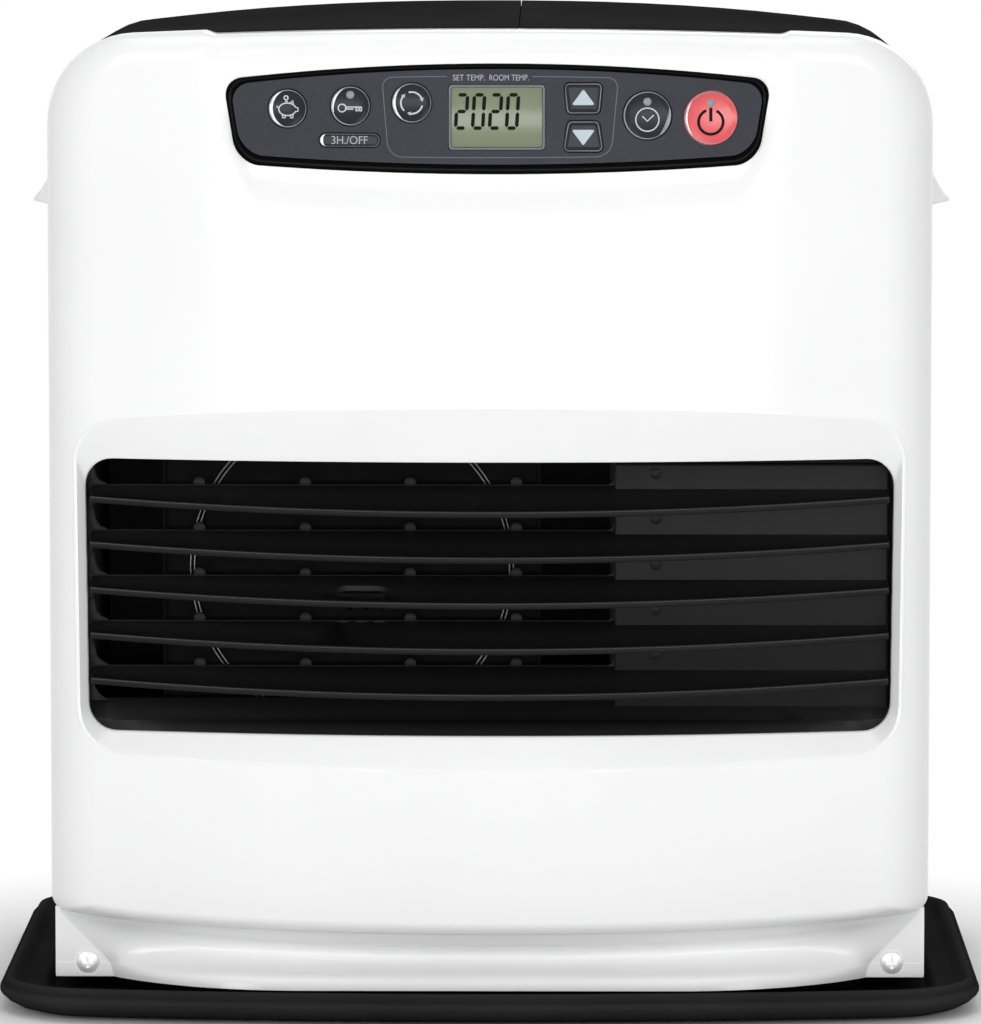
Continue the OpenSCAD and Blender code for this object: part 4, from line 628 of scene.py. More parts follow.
def outlet_surround():
    """The bevel round the outlet, with a soft edge on the face and a round lip at the opening"""
    def on_skin(points, depth, grow):
        return [(x, y - bow(x) + skin(x), z) for x, y, z in on_face(points, depth, grow)]

    def between(t):
        pairs = zip(outer_outlet, inner_outlet)
        return [((1 - t) * a + t * c, (1 - t) * b + t * d) for (a, b), (c, d) in pairs]

    edge = [on_skin(outer_outlet, depth, grow) for depth, grow in ((2.2, 2.2), (0.03, 1.4), (0.05, 0.5))]
    bevel = [on_skin(between(0.05), 0.4, 0), on_face(between(0.9), 7.0)]
    lip = [on_face(inner_outlet, depth, grow) for depth, grow in ((7.9, 0.3), (8.7, 0), (10, 0))]
    return ring_body("outlet_surround", edge + bevel + lip + [on_face(outer_outlet, 3.4, 2.2)], joined=True)


# The skirt's section: depth behind the face, height in the middle, blend to a flat front, height at the sides
SKIRT = [(4, 36, 0, 41), (7.5, 32.6, 0, 39.8), (10, 29.9, .05, 39.4), (11.3, 29.2, .08, 39),
         (14, 28.4, .12, 37.6), (20, 26.4, .2, 34.8), (23.5, 23.6, .35, 30.5), (22.5, 20.8, .5, 25.2),
         (16, 18.8, .7, 20.7), (9, 17.9, .9, 18.2), (5.6, 17, 1, 16.9), (3.2, 15.1, 1, 15),
         (2, 12.9, 1, 12.9), (1.5, 11.2, 1, 11.2)]
SKIRT_COLUMNS = 48
# Half widths of the skirt's foot and of its flat middle
SKIRT_FOOT, SKIRT_FLAT = 163.4, 80
# Where the inner edge of a gusset bends, as (x, z)
KNEE = (165.5, 18.2)


def skirt_half(z):
    """Half width of the skirt, which ends at the gussets"""
    if z > KNEE[1]:
        return KNEE[0] + (z - KNEE[1]) * (GUSSET_X - KNEE[0]) / (GUSSET_TOP - KNEE[1])
    return SKIRT_FOOT + (z - FOOT) * (KNEE[0] - SKIRT_FOOT) / (KNEE[1] - FOOT)


def skirt_spot(i, j):
    deep, z, blend, side = SKIRT[len(SKIRT) - 1 - j]
    half = min(skirt_half(side), GUSSET_X - 1)
    h, w = GUSSET_Y - FRONT - deep, half - SKIRT_FLAT
    r = (w * w + h * h) / (2 * h)
    x = half * sin(pi / 2 * (2 * i / SKIRT_COLUMNS - 1))
    a = max(0.0, abs(x) - SKIRT_FLAT)
    back = (1 - blend) * bow(x) / bow(half) + blend * (r - sqrt(r * r - a * a)) / h
    return (x, FRONT + deep + h * back, z + (side - z) * rise(x, half))


def front_skirt():
    skirt = grid("front_skirt", SKIRT_COLUMNS, len(SKIRT) - 1, skirt_spot)
    edit(skirt)
    leave(outwards=True)
    if sum(f.normal.y for f in skirt.data.polygons) > 0:
        skirt.data.flip_normals()
    modify(skirt, "SUBSURF", levels=2, render_levels=2, boundary_smooth="PRESERVE_CORNERS")
    return modify(skirt, "SOLIDIFY", thickness=SKIRT_WALL * MM, offset=-1)


def corner_gusset(side):
    """A flat gusset with its screw hole, a low step on its lower band and a wing that reaches back"""
    def mirrored(outline):
        return [(side * x, z) for x, z in outline]

    hole = (side * SCREW[0], SCREW[1])
    outline = rounded([(GUSSET_X, FOOT), (GUSSET_X, GUSSET_TOP), (GUSSET_X - 4, GUSSET_TOP),
                       (KNEE[0] - 2.5, KNEE[1]), (160.9, FOOT)], [0.8, 0, 0, 3, 0.8], 3)
    gusset = plate("gusset", mirrored(outline), GUSSET_Y, GUSSET_Y + SKIRT_WALL)
    carve(gusset, round_bar("bore", hole, 2.2, *GUSSET_CUT, 32))
    step = rounded([(GUSSET_X - 0.4, FOOT + 0.1), (GUSSET_X - 0.4, 17.5), (KNEE[0] - 1.6, 17.5),
                    (161.7, FOOT + 0.1)], 0.5, 3)
    band = plate("band", mirrored(step), GUSSET_Y - 0.25, GUSSET_Y + 0.2)
    carve(band, round_bar("seat", hole, 5.6, *GUSSET_CUT, 40))
    wing = block("wing", sorted((side * (GUSSET_X - SKIRT_WALL), side * GUSSET_X)), (GUSSET_Y + 1, -62.3),
                 (FOOT, GUSSET_TOP))
    return join("gusset", soften(gusset, 0.35), soften(band, 0.2), wing)


def bezel_outline(inset, top=None, bottom=None):
    """The bezel's crowned outline, drawn in by the insets; it is a little narrower at its foot"""
    top = inset if top is None else top
    bottom = inset if bottom is None else bottom
    shape = crowned(BEZEL_HALF - inset, BEZEL_Z[0] + bottom, BEZEL_Z[1] - top, 4, 7.2, 10, 8, 32)
    return [(x * (1 - 0.05 * max(0.0, (BEZEL_Z[1] - z) / 35.8)) + BEZEL_X, z) for x, z in shape]


def front_panel():
    shell = panel_shell()
    carve(shell, plate("outlet_cut", [pushed(x, z, 0.6) for x, z in outer_outlet], -125, -80))
    carve(shell, plate("panel_cut", bezel_outline(1.4), *PANEL_CUT))
    panel = join("front_panel_moulding", shell, smooth(outlet_surround(), 50), front_skirt(),
                 corner_gusset(-1), corner_gusset(1))
    fit(smooth(panel, 40, weighted=True), white_moulding, "front_panel")


front_panel()

# Louvre grille
SLOPE = radians(11.8)
PITCH = 118.1 / 6
LEVELS = [OPEN_Z[0] + PITCH * i - 1 for i in range(7)]
# How far a blade stands over its level at the rear wall
BLADE_RISE = 6.41


def stations(half):
    """Places across the outlet, closer together at its sides"""
    return [half * sin(pi / 2 * (i / 24 - 1)) for i in range(49)]


def on_blade(x, level, reach, h=0.0):
    """A place on a blade, by its distance from the rear wall and its height over the blade's middle"""
    return (x, GRILLE_Y - reach * cos(SLOPE) - h * sin(SLOPE),
            level + BLADE_RISE - reach * sin(SLOPE) + h * cos(SLOPE))


def sheet(name, level, profile, half):
    """A sloping sheet that follows the bow at its nose"""
    rings = []
    for x in stations(half):
        reach = GRILLE_Y - FRONT - 6 - bow(x)
        rings.append([on_blade(x, level, t, h) for t, h in profile(reach)])
    return ring_body(name, rings)


def nosed(reach):
    """The section of a thin blade with a round nose"""
    nose = [(4.5, 1.1), (2.6, 1.3), (1.5, 1.35), (0.8, 1.15), (0.35, 0.75), (0.08, 0.2), (0, -0.4),
            (0.15, -1.0), (0.6, -1.5), (1.5, -1.75), (3, -1.4), (4.5, -1.1)]
    return [(-0.5, 1.1)] + [(reach - back, h) for back, h in nose] + [(-0.5, -1.1)]


def bead(reach):
    """The section of a polished line along the upper edge of the nose"""
    return [(reach - 0.8 + 0.62 * cos(pi * k / 6), 0.78 + 0.62 * sin(pi * k / 6)) for k in range(11, -1, -1)]


def slot_through(at, half_x, half_y):
    """An upright cutter with round ends"""
    outline = rounded(corners(-half_x, half_x, -half_y, half_y), min(half_x, half_y) - 0.05, 8)
    return ring_body("slot_tool", [[(at[0] + x, at[1] + y, at[2] + z) for x, y in outline] for z in (-5, 5)])


def blades():
    """Five blades; the middle one has a slot and the one below it three small holes"""
    slots = {3: [(-55.0, 21.2, 11, 5.2)], 2: [(x, 2.4, 2.7, 2.65) for x in (-63.5, -55.7, -47.9)]}
    made = []
    for i in range(1, 6):
        made.append(sheet("blade", LEVELS[i], nosed, 172.0))
        for x, reach, half_x, half_y in slots.get(i, []):
            carve(made[-1], slot_through(on_blade(x, LEVELS[i], reach), half_x, half_y))
    return made


def sill():
    """The sill slopes up from the lip in two planes and has two small pits"""
    rings = []
    for x in stations(173.2):
        lip = min(-79.0, FRONT + 9.6 + bow(x))
        knee = max(-90.5, lip - 0.3)
        rings.append([(x, GRILLE_Y + 0.3, 132.4), (x, knee, 125.4), (x, max(knee - 0.8, lip - 0.4), 124.9),
                      (x, lip, 120.2), (x, lip, 118.8), (x, knee + 1.5, 123.4), (x, GRILLE_Y + 0.3, 129.2)])
    piece = ring_body("sill", rings)
    for x in (131.0, 152.4):
        carve(piece, slot_through((x, -82, 128), 0.9, 0.9))
    return piece


def grille_wall(outline):
    """The rear wall with a window between each two blades, and the tabs, feet and bosses at the windows"""
    wall = plate("grille_rear", outline, GRILLE_Y - 2, GRILLE_Y)
    foot = [(-174.2, 0), (-165.4, 0), (-166.4, 0.9), (-168.6, 2.0), (-170, 3.6), (-170.8, 6), (-171.6, 10),
            (-174.2, 10)]
    parts = []
    for i in range(6):
        low = LEVELS[i] + BLADE_RISE + 1.1 if i else 131.6
        high = (OPEN_Z[1] - 1.3) if i == 5 else LEVELS[i + 1] + BLADE_RISE - 1.1
        window = rounded(corners(-OPEN_X + 2.2, 53.8, low, high), [3.5 if i else 9, 3.5, 2, 2], 6)
        carve(wall, plate("window", window, -80, -66))
        if i:
            tabs = [round_bar("tab", (x, low + 0.8), 2.6, GRILLE_Y - 2.2, GRILLE_Y + 0.2, 28)
                    for x in (-125.7, -79.8, -34.4, 11.5)]
            wall_foot = plate("wall_foot", [(x, low + up) for x, up in foot], GRILLE_Y - 2.6, GRILLE_Y - 0.1)
            boss = round_bar("boss", (71.8, low + 5.4), 2.6, -79.8, -79.1, 28)
            parts += [soften(tab, 0.35) for tab in tabs] + [soften(wall_foot, 0.3), soften(boss, 0.2)]
    return [soften(wall, 0.4)] + parts


def grille():
    outline = tapered(crowned(OPEN_X + 2.4, OPEN_Z[0] - 2.2, OPEN_Z[1] + 2.2, 0, 0, 13.5, 13.5))
    rim = ring_body("grille_frame", [
        on_face(outline, 10.3), on_face(inner_outlet, 10.3), [(x, -68, z) for x, z in inner_outlet],
        [(x, -68, z) for x, z in outline]], joined=True)
    beads = [sheet("nose_bead", level, bead, 171.9) for level in LEVELS[1:6]]
    fit(smooth(join("louvre_noses", *beads), 60), nose_black, body="cabinet", slot=slot_of["louvre_grille"])
    wall, *parts = grille_wall(outline)
    # to the right the outlet is closed by a block that stands forward of the windows
    closed = block("closed_side", (53.9, 172.3), (-79.4, GRILLE_Y + 0.2), (125, 235))
    piece = join("louvre_grille_moulding", wall, rim, *blades(), sill(), *parts, soften(closed, 1.0, 4))
    fit(smooth(piece, 38), grille_black, "louvre_grille")


grille()


# Control panel
def control_bezel():
    """The bezel's rim: insets at the sides, top and foot, depth, and 1 where it follows the bow"""
    steps = [(0, 0, 0, 1.38, 1), (0, 0, 0, 0.2, 1), (.1, .1, .1, -.15, 1), (.35, .35, .35, -.4, 1),
             (.8, .8, .9, -.5, 1), (1.6, 1.3, 2.7, -.5, 1), (2.1, 1.75, 3.5, -.38, 1),
             (2.45, 2.1, 3.85, -.1, 1), (2.6, 2.2, 4, .3, 1), (2.6, 2.2, 4, 2.1, 1), (3.4, 3, 5, 2.1, 1),
             (3.4, 3, 5, 19.3, 0), (1.7, 1.7, 1.7, 19.3, 0), (1.7, 1.7, 1.7, 1.38, 1)]
    rings = [[(x, FRONT + depth + follow * bow(x), z) for x, z in bezel_outline(*insets)]
             for *insets, depth, follow in steps]
    fit(smooth(ring_body("control_bezel_rim", rings, joined=True), 40), bezel_black, "control_bezel")


# The round buttons: middle and radius
ROUND = {"eco_button": (-85.6, 389.9, 8.3), "lock_button": (-58.8, 391.1, 8.5),
         "cycle_button": (-32.7, 392.5, 8.6), "timer_button": (67.3, 387.1, 10.4),
         "power_button": (94.3, 385.9, 11.5)}
# Their marks: size and width of the line
MARK = {"eco_button": (1.16, 0.6), "lock_button": (1.1, 0.6), "cycle_button": (1.15, 0.8),
        "timer_button": (1.12, 0.6), "power_button": (1.07, 1.35)}
# The painted glints on their rims, bright crescents that stand for highlights: first and last angle, and width
PAINTED_GLINTS = {"eco_button": (100, 262, 1.5), "lock_button": (105, 215, 1.1), "cycle_button": (118, 250, 1.2),
               "timer_button": (-62, 22, 1.5), "power_button": (128, 236, 1.0)}
# The rolled rim of a cap: inset and depth
CAP_RIM = [(.3, -.66), (.55, -.7), (.85, -.64), (1.2, -.45)]
DISH = 0.55


def pill(inset):
    r = 3.0 - inset
    return arc(PILL[0] + 10, PILL[1], r, -90, 90, 14) + arc(PILL[0] - 10, PILL[1], r, 90, 270, 14)


def key(name, inset):
    cz, lean = KEYS[name]
    w, h = 8.4 - inset, 6.75 - inset
    return rounded([(KEY_X - w + lean, cz - h), (KEY_X + w - lean, cz - h), (KEY_X + w - 1.2 + lean, cz + h),
                    (KEY_X - w + 1.2 - lean, cz + h)], max(0.5, 2.4 - inset), 5)


def control_fascia():
    slab = bowed_plate("fascia_plate", bezel_outline(2.75, 2.35, 4.15), 0, 1.9, 4)
    holes = [circle(x, z, r + 0.3) for x, z, r in ROUND.values()]
    holes += [pill(-0.3)] + [key(name, -0.3) for name in KEYS] + [rounded(corners(*WINDOW), 0.8, 4)]
    for outline in holes:
        carve(slab, plate("hole", outline, *PANEL_CUT))
    fit(smooth(soften(slab, 0.18, 2, 40), 35, weighted=True), fascia_slate, "control_fascia")


def lettering(text, x, z, depth):
    """Printed words that fill a box on the panel"""
    clear()
    bpy.ops.object.text_add(rotation=(pi / 2, 0, 0))
    word = bpy.context.object
    word.data.body = text
    word.data.size = 0.004
    word.data.extrude = 0.00004
    bpy.ops.object.convert(target="MESH")
    word = settle(bpy.context.object)
    spots = [v.co.copy() for v in word.data.vertices]
    (a0, a1), (b0, b1) = [(min(c), max(c)) for c in ([v.x for v in spots], [v.z for v in spots])]
    for v, spot in zip(word.data.vertices, spots):
        v.co.x = (x[0] + (x[1] - x[0]) * (spot.x - a0) / (a1 - a0)) * MM
        v.co.z = (z[0] + (z[1] - z[0]) * (spot.z - b0) / (b1 - b0)) * MM
        v.co.y = spot.y + (FRONT + bow(v.co.x / MM) + depth) * MM
    return word


def cap(name, outline, x, dish):
    """A button cap: stem, collar, side, rolled rim and a dished front"""
    wide = max(p[0] for p in outline(0)) - x
    stem, limit = (wide - 2.2, wide - 0.4) if name in ROUND else (0.55, 2.3)
    end = BOARD_Y - 4.85 - FRONT - bow(x)
    steps = [(stem, end), (stem, 3.2), (-0.85, 3.2), (-0.85, 2.25), (0, 2.25), (0, -0.25), (.1, -.5)] + CAP_RIM
    start, edge_depth = CAP_RIM[-1]
    for k in range(1, 7):
        inset = start + (limit - start) * k / 6
        steps.append((inset, edge_depth + dish * (1 - ((limit - inset) / (limit - start)) ** 2)))
    return smooth(ring_body(name + "_cap", [on_face(outline(inset), depth) for inset, depth in steps]), 50)


def dish_depth(name, r):
    """Depth of the dished front at a distance r from the middle of a round button"""
    flat = 1 - min(1.0, ((r - 0.4) / (ROUND[name][2] - 1.6)) ** 2 if r > 0.4 else 0.0)
    return CAP_RIM[-1][1] + DISH * flat


def cap_depth(name, r):
    """Depth of a round button's front, its rolled rim included"""
    inset = ROUND[name][2] - r
    for (a, c), (b, d) in zip(CAP_RIM, CAP_RIM[1:]):
        if inset <= b:
            return c + (d - c) * max(0.0, (inset - a) / (b - a))
    return dish_depth(name, r)


def lay(piece, surface, lift, flat=1.0):
    """Lays a piece on a surface that gives the depth behind the bowed face, and flattens it"""
    for v in piece.data.vertices:
        x, z = v.co.x / MM, v.co.z / MM
        v.co.y = v.co.y * flat + (FRONT + surface(x, z) + bow(x) - lift) * MM
    return piece


def stroke(points, width, surface, closed=False):
    """A thin raised line along points on a surface"""
    curve = bpy.data.curves.new("stroke", "CURVE")
    curve.dimensions = "3D"
    curve.bevel_depth = width / 2 * MM
    curve.bevel_resolution = 1
    curve.use_fill_caps = True
    spline = curve.splines.new("POLY")
    spline.points.add(len(points) - 1)
    for p, (x, z) in zip(spline.points, points):
        p.co = (x * MM, 0, z * MM, 1)
    spline.use_cyclic_u = closed
    piece = bpy.data.objects.new("stroke", curve)
    bpy.context.scene.collection.objects.link(piece)
    pick(piece)
    bpy.ops.object.convert(target="MESH")
    return lay(bpy.context.object, surface, 0.05, 0.35)


def patch(outline, surface, thick=0.08):
    """A thin raised field on a surface"""
    return lay(plate("patch", outline, 0, thick), surface, thick)


def crescent(x, z, outer, inner, angles, wide, n):
    """A sickle between two radii that is wider by wide in its middle"""
    turn = [radians(angles[0] + (angles[1] - angles[0]) * i / n) for i in range(n + 1)]
    near = [inner - wide * sin(pi * i / n) for i in range(n + 1)]
    far = [(x + outer * cos(t), z + outer * sin(t)) for t in turn]
    return far + [(x + q * cos(t), z + q * sin(t)) for t, q in zip(turn, near)][::-1]


def oval(rx, rz, cx, cz, angles):
    return [(rx * cos(radians(a)) + cx, rz * sin(radians(a)) + cz) for a in angles]


def turning_arrows():
    lines = []
    for q in (10, 130, 250):
        turn = oval(4.0, 4.0, 0, 0, range(q + 12, q + 98, 6))
        x, z = turn[0]
        tip = oval(4.0, 4.0, 0, 0, [q])
        lines += [(turn, False), ([(x * 1.12, z * 1.12)] + tip + [(x * 0.88, z * 0.88)], True)]
    return lines


# The marks of the round buttons as lines, each with True where it is closed
LINES = {
    "eco_button": [
        (oval(3.2, 2.3, 0, -0.3, range(20, 341, 16)) + [(3.9, -1.0), (3.9, 0.2)], True),
        ([(-1.8, -2.3), (-1.8, -3.4), (-0.9, -3.4), (-0.8, -2.6)], False),
        ([(1.0, -2.5), (1.2, -3.4), (2.0, -3.4), (2.0, -2.1)], False),
        ([(0.9, 1.8), (2.0, 2.9), (2.2, 1.4)], False), ([(-0.9, 2.6), (0.1, 2.65)], False),
        ([(-3.3, 0.2), (-4.0, 0.8)], False), (oval(0.75, 0.75, -0.5, 3.9, range(0, 360, 30)), True)],
    "lock_button": [
        (oval(1.5, 1.5, -3.2, -0.8, range(0, 360, 24)), True), ([(-1.7, -0.4), (4.3, -0.4)], False),
        ([(-1.7, -1.2), (1.2, -1.2)], False),
        ([(2.2, -0.4), (2.2, -1.9), (3.0, -1.9), (3.0, -1.0), (3.6, -1.0), (3.6, -1.9), (4.3, -1.9),
          (4.3, -0.4)], False)],
    "cycle_button": turning_arrows(),
    "timer_button": [
        (oval(4.4, 4.4, 0, -1.6, range(0, 360, 12)), True), ([(-1.9, -0.3), (0, -2.2), (2.4, 0.1)], False)],
    "power_button": [
        (oval(4.9, 4.9, 0, -1.6, range(112, 429, 10)), False), ([(0, 4.0), (0, -1.4)], False)]}


def trim(piece, node, part, material):
    """A small piece that rides on a button"""
    piece.name = node + part
    fit(piece, material, body=home[node], slot=slot_of[node])


def raised_rim(name, outline, steps):
    """A fine rim: the outline at steps of inset and depth"""
    return smooth(ring_body(name, [on_face(outline(inset), depth) for inset, depth in steps], joined=True), 50)


def round_button(name):
    x, z, r = ROUND[name]
    red = name == "power_button"
    size, width = MARK[name]

    def surface(depth):
        return lambda a, b: depth(name, sqrt((a - x) ** 2 + (b - z) ** 2))

    fit(cap(name, lambda inset: circle(x, z, r - inset), x, DISH), button_red if red else button_slate, name)
    marks = [stroke([(x + u * size, z + v * size) for u, v in line], width, surface(dish_depth), closed)
             for line, closed in LINES[name]]
    trim(smooth(join(name + "_mark", *marks), 40), name, "_mark", mark_black if red else mark_pale)
    # the ring of painted highlight on each cap's rim is wider on its left
    rings = [on_face(circle(x + off, z, r - inset), depth)
             for inset, depth, off in ((.3, -.62, 0), (.36, -.74, 0), (.62, -.76, .14), (.74, -.64, .18))]
    trim(smooth(ring_body(name + "_ring", rings, joined=True), 50), name, "_ring", rim_highlight_blue)
    # a bright crescent painted on the rim as its glint; the timer's is pale blue
    first, last, wide = PAINTED_GLINTS[name]
    edge = patch(crescent(x, z, r - 0.5, r - 0.55, (first, last), wide, 28), surface(cap_depth), 0.05)
    trim(edge, name, "_rim_glint", rim_highlight_blue if name == "timer_button" else painted_glint)
    if name in ("lock_button", "timer_button", "power_button"):
        up = r * 0.56
        dome = ((1.75, .1), (1.75, -.12), (1.6, -.22), (1.1, -.3), (.5, -.33), (.05, -.34))
        rings = [on_face(circle(x, z + up, q, 24), dish_depth(name, up) + depth) for q, depth in dome]
        trim(smooth(ring_body(name + "_lamp", rings), 60), name, "_lamp", lamp_grey)


def key_button(name):
    cz, s = KEYS[name][0], 1 if name == "up_button" else -1
    fit(cap(name, lambda inset: key(name, min(inset, 5.2)), KEY_X, 0.3), button_slate, name)
    arrow = [(KEY_X - 5 * s, cz - 2.8 * s), (KEY_X + 5 * s, cz - 2.8 * s), (KEY_X, cz + 3.9 * s)]
    trim(patch(rounded(arrow, 0.5, 3), lambda a, b: -0.38), name, "_mark", arrow_pale)
    steps = ((.4, -.66), (.5, -.76), (.7, -.77), (.85, -.66))
    # the pale rim round the key is a painted highlight along its bevel
    trim(raised_rim(name + "_rim", lambda inset: key(name, inset), steps), name, "_edge", rim_highlight_grey)


def off_button():
    name = "off_button"
    fit(cap(name, lambda inset: pill(min(inset, 2.4)), PILL[0], 0.0), button_slate, name)
    word = lettering("3H./OFF", (-66.8, -51.4), (374.9, 378.4), -0.5)
    # the pale rim round the pill is a painted highlight along its bevel
    rim = raised_rim("off_rim", pill, ((.3, -.64), (.38, -.73), (.5, -.74), (.62, -.64)))
    # a bright crescent painted at the pill's left end as its glint
    edge = crescent(PILL[0] - 10, PILL[1], 2.5, 2.4, (100, 260), 1.1, 24)
    trim(patch(edge, lambda a, b: -0.66, 0.06), name, "_rim_glint", painted_glint)
    trim(word, name, "_mark", word_pale)
    trim(rim, name, "_edge", rim_highlight_grey)


def bar_outline(bar, x0, z0):
    """One of the seven bars of a digit, which leans a little to the right"""
    w, h, t = DIGIT
    if bar in "agd":
        z = z0 + {"a": h, "g": h / 2, "d": 0}[bar]
        near, far = x0 + t / 2 + .2, x0 + w - t / 2 - .2
        shape = [(x0 + .25, z), (near, z + t / 2), (far, z + t / 2), (x0 + w - .25, z), (far, z - t / 2),
                 (near, z - t / 2)]
    else:
        x = x0 + (w if bar in "bc" else 0)
        z = z0 + (h / 2 if bar in "bf" else 0)
        low, high = z + t / 2 + .3, z + h / 2 - t / 2 - .3
        shape = [(x, z + .3), (x + t / 2, low), (x + t / 2, high), (x, z + h / 2 - .3), (x - t / 2, high),
                 (x - t / 2, low)]
    return [(a + (b - z0) * 0.06, b) for a, b in shape]


def display():
    flat, rear = FRONT + 0.9, -111.5
    glass = soften(block("display_glass", (-17.0, 23.8), (flat, rear), (372.65, 400.15)), 0.25, 3)
    module = soften(block("display_module", (-19.2, 24.7), (rear, BOARD_Y - 0.2), (370.4, 396.4)), 0.4)
    fit(smooth(join("display_unit", glass, module), 40), lcd_glass, "lcd_display")
    lit = {"2": "abged", "0": "abcdef"}
    bars = [plate("bar", bar_outline(bar, -14.1 + k * 7.2, 381.8), flat - 0.06, flat + 0.02)
            for k, digit in enumerate("2020") for bar in lit[digit]]
    fit(join("display_digits", *bars), lcd_ink, body="cabinet", slot="display_glass")
    x0, x1, z0, z1 = WINDOW
    rings = []
    for depth, inset, r in ((-.5, 0, 1.6), (-.9, .3, 1.5), (-.9, 1.0, 1.2), (-.05, 1.3, 1.0), (.02, 0, 1.6)):
        outline = rounded(corners(x0 + inset, x1 - inset, z0 + inset, z1 - inset), r, 5)
        rings.append([(x, flat + depth, z) for x, z in outline])
    # the recessed frame round the window is coloured dark as painted shade
    edge = ring_body("display_edge", rings, joined=True)
    fit(smooth(edge, 40), frame_shade_grey, body="cabinet", slot="fascia_slate")


def printed_line():
    """The line round the display and the keys, with a gap at the top for the words"""
    outline = rounded([(-42.6, 369.8), (51.9, 369.8), (55, 402.9), (-45.4, 402.9)], [6.5, 7, 4, 4], 6)
    line = []
    for a, b in zip(outline, outline[1:] + outline[:1]):
        n = max(1, int(abs(a[0] - b[0])))
        line += [(a[0] + (b[0] - a[0]) * i / n, a[1] + (b[1] - a[1]) * i / n) for i in range(n)]
    line = [(x, z + (0.9 if z > 390 else -0.5) * (1 - (x / 60) ** 2)) for x, z in line]
    gap = [i for i, (x, z) in enumerate(line) if z > 400 and -16.9 < x < 18.2]
    line = line[gap[-1] + 1:] + line[:gap[0]]
    fit(smooth(stroke(line, 0.4, lambda a, b: 0.0), 50), line_dim, body="cabinet", slot="fascia_slate")
    words = join("display_words", lettering("SET TEMP.", (-15.2, -1.7), (402.0, 404.5), -0.03),
                 lettering("ROOM TEMP.", (0.3, 16.9), (402.0, 404.5), -0.03))
    fit(words, word_pale, body="cabinet", slot="fascia_slate")


control_bezel()
control_fascia()
for button in ROUND:
    round_button(button)
for button in KEYS:
    key_button(button)
off_button()
display()
printed_line()

# Side grips: the sections of the hood and of the hollow in it, out from the panel and up
HOOD = [(0.3, 15.6), (1.3, 14.6), (3, 11), (5.5, 6.9), (7.2, 3.5), (8.6, 1.1), (10.5, -1.3), (12.1, -3.2),
        (12.4, -3.8), (12.2, -4.4), (11.6, -4.7), (9.6, -5), (7.7, -5.5), (5.5, -6), (1.3, -7.2), (0.3, -7.2)]
HOLLOW = [(-1, 10), (1.3, 9.6), (3, 7), (5.2, 3.2), (6.9, 0.4), (8.4, -1.6), (10, -3.3), (10.4, -4), (10, -9),
          (-1, -9)]
GRIP_Y = 20


def grip_loft(name, side, profile, half):
    """A section carried along the side and drawn in to the panel at both ends"""
    rings, turn = [], 16
    for i in range(17):
        y = half * sin(pi / 2 * (i / 8 - 1))
        u = max(0.0, (abs(y) - half + turn) / turn)
        k = max(0.04, sqrt(1 - u * u))
        rings.append([(side * (189.2 + a * k), GRIP_Y + y, 349 + b) for a, b in profile])
    return ring_body(name, rings)


def side_grip(side):
    """A flange on the side panel, a pocket and a scooped hood over the pocket's upper edge"""
    scoop = carve(grip_loft("grip_hood", side, HOOD, 40), grip_loft("grip_hollow", side, HOLLOW, 38))
    outline = [(GRIP_Y + a, 343 + b) for a, b in rounded(corners(-46, 46, -26, 26), 8, 8)]
    flange = ring_body("grip_flange", [[(side * x, y, z) for y, z in outline] for x in (189.3, 190.5)])
    pocket = block("grip_pocket", sorted((side * 175.2, side * 189.7)), (-20, 60), (323, 357))
    for piece in (flange, pocket):
        carve(piece, block("mouth", sorted((side * 176.8, side * 191.5)), (-18.4, 58.4), (324.6, 355.4)))
    name = "left_grip" if side < 0 else "right_grip"
    grip = join(name + "_moulding", soften(flange, 0.3), soften(pocket, 0.4), scoop)
    fit(smooth(grip, 40), white_grip, name)


side_grip(-1)
side_grip(1)


def screen_ring():
    """The ring on the screen is a pair of fine beads, whose metal is darkened as painted shade"""
    clear()
    beads = []
    for radius in (68.5, 70.2):
        bpy.ops.mesh.primitive_torus_add(
            major_radius=radius * MM, minor_radius=0.55 * MM, major_segments=144, minor_segments=12,
            rotation=(pi / 2, 0, 0), location=(-0.06, -0.0617, 0.1882))
        beads.append(settle(named("bead")))
    fit(smooth(join("screen_beads", *beads), 60), shade_dimmed_ring, "screen_ring")


screen_ring()

# Pieces that keep the frame's shape
for node, material in {
        "base_tray": tray_black, "top_cover": top_black, "tank_lid": top_black, "left_side_panel": white_sheet,
        "right_side_panel": white_sheet, "rear_panel": white_sheet, "front_screws": plated_head,
        "cabinet_screws": zinc, "tray_screws": zinc, "lid_hinge_pins": zinc, "tank_handle": zinc,
        "burner_screen": dark_screen, "combustion_chamber": near_black_sheet, "burner_head": hot_steel,
        "burner_pot": bright_steel, "air_duct": near_black_sheet, "fan_shroud": bright_steel,
        "warm_air_fan": fan_sheet, "fan_motor": aluminium, "fan_guard": wire_black, "filter_rails": fine_black,
        "air_filter": fine_black, "blower_housing": cream_plastic, "blower_impeller": coil_black,
        "fuel_tank": tank_coat, "fuel_sump": galvanised, "tank_cap": red_plastic, "cap_valve": brass,
        "fuel_gauge": gauge_white, "fuel_strainer": cream_plastic, "fuel_pump": aluminium, "fuel_pipe": copper,
        "igniter": ceramic, "flame_sensor": ceramic, "overheat_thermostat": ceramic,
        "ignition_coil": coil_black, "tip_switch": coil_black, "cord_inlet": rubber, "main_board": board_green,
        "control_board": board_green, "control_harness": ribbon_grey, "base_plate": galvanised,
        "tank_partition": galvanised, "board_bracket": galvanised}.items():
    dress(node, material)

# Floor, backdrop and lamps
clear()
bpy.ops.mesh.primitive_plane_add(size=16)
floor = named("floor")
floor_finish = finish("pale_floor", (0.8, 0.8, 0.8), 0.7, mottle=0.004, patch=2, grain=90, bump=0.02, shine=0.2)
floor.data.materials.append(floor_finish)


def math_in(tree, how, a, b):
    node = node_in(tree, "ShaderNodeMath")
    node.operation = how
    tree.links.new(a, node.inputs[0])
    tree.links.new(b, node.inputs[1])
    return node.outputs[0]


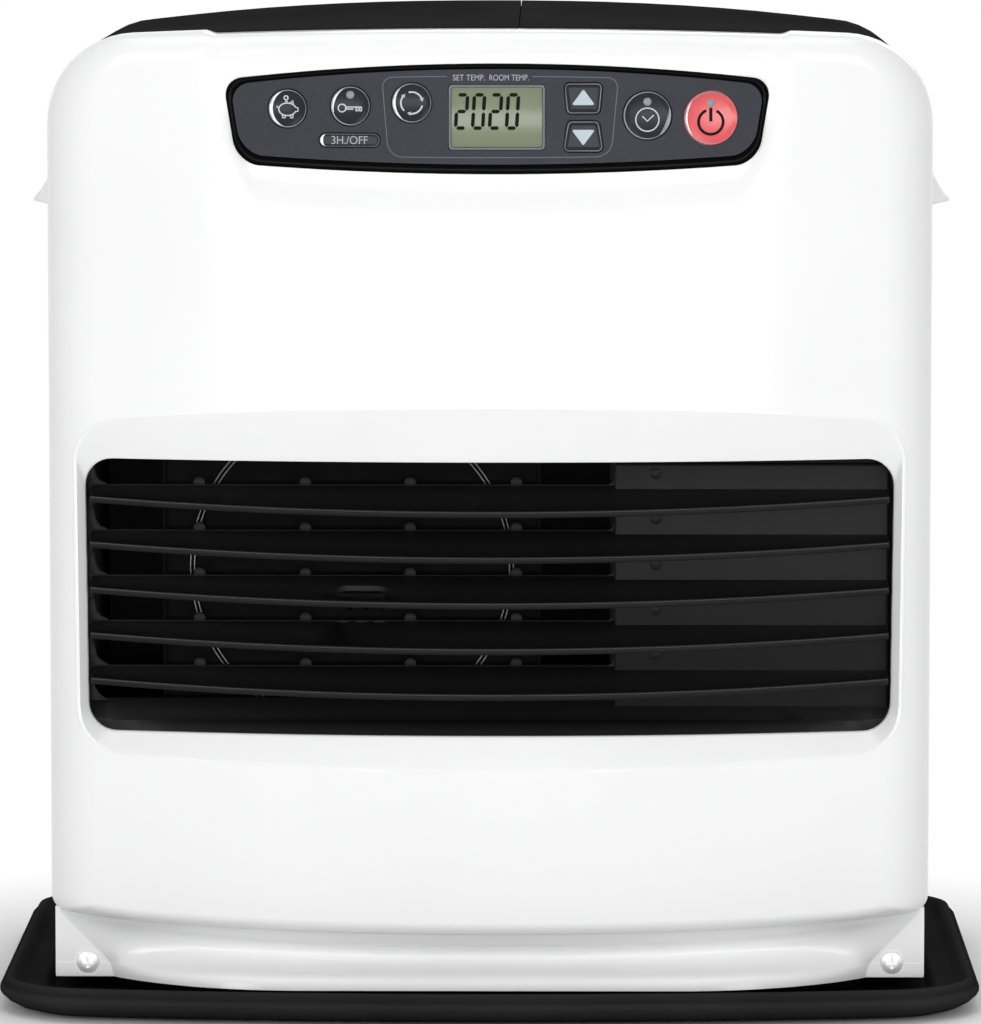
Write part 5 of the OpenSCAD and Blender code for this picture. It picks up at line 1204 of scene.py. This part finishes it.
def blend_in(tree, share, first, second):
    """Two shaders blended by share, as the tree's surface"""
    mix = node_in(tree, "ShaderNodeMixShader")
    for source, at in ((share, 0), (first.outputs[0], 1), (second.outputs[0], 2)):
        tree.links.new(source, mix.inputs[at])
    out = tree.nodes.get("Material Output") or tree.nodes["World Output"]
    tree.links.new(mix.outputs[0], out.inputs["Surface"])


def backdrop_rays(tree):
    """1 for the rays that see the background: the camera's, mirrored and passed through"""
    rays = node_in(tree, "ShaderNodeLightPath").outputs
    mirrored = math_in(tree, "MAXIMUM", rays["Is Camera Ray"], rays["Is Glossy Ray"])
    return math_in(tree, "MAXIMUM", mirrored, rays["Is Transmission Ray"])


# Away from the heater the floor fades into the white of the backdrop; round its foot it keeps the shadow
tree = floor_finish.node_tree
place = node_in(tree, "ShaderNodeMapping", Scale=(0.8, 1.0, 1.0))
tree.links.new(node_in(tree, "ShaderNodeTexCoord").outputs["Object"], place.inputs["Vector"])
away = node_in(tree, "ShaderNodeVectorMath")
away.operation = "LENGTH"
tree.links.new(place.outputs["Vector"], away.inputs[0])
fade = node_in(tree, "ShaderNodeMapRange", From_Min=0.17, From_Max=0.36)
fade.interpolation_type = "SMOOTHSTEP"
tree.links.new(away.outputs["Value"], fade.inputs["Value"])
share = math_in(tree, "MULTIPLY", fade.outputs["Result"], backdrop_rays(tree))
blend_in(tree, share, tree.nodes["Principled BSDF"], node_in(tree, "ShaderNodeEmission", Strength=1.0))

world = bpy.data.worlds.new("studio")
bpy.context.scene.world = world
world.use_nodes = True
tree = world.node_tree
soft = tree.nodes["Background"]
soft.inputs["Color"].default_value = (1, 1, 1, 1)
soft.inputs["Strength"].default_value = 0.5
pale = node_in(tree, "ShaderNodeBackground", Color=(1, 1, 1, 1), Strength=1.0)
blend_in(tree, backdrop_rays(tree), soft, pale)


def softbox(name, place, aim, size, power):
    data = bpy.data.lights.new(name, "AREA")
    data.shape = "RECTANGLE"
    data.size, data.size_y = size
    data.energy = power
    light = bpy.data.objects.new(name, data)
    light.location = place
    light.rotation_euler = (Vector(aim) - Vector(place)).to_track_quat("-Z", "Y").to_euler()
    bpy.context.scene.collection.objects.link(light)


softbox("key_softbox", (-1.6, -2.5, 1.4), (0, 0, 0.2), (0.8, 1.3), 15)
softbox("fill_softbox", (1.6, -2.5, 1.2), (0, 0, 0.2), (0.8, 1.3), 11)
softbox("low_softbox", (0, -3.0, 0.2), (0, 0, 0.08), (2.4, 0.4), 27)
softbox("overhead_softbox", (0, 0.2, 2.4), (0, 0, 0.2), (2.0, 1.4), 12)
softbox("rear_softbox", (0.6, 2.2, 1.4), (0, 0, 0.2), (1.6, 1.0), 12)

bpy.context.scene.view_settings.view_transform = "Standard"
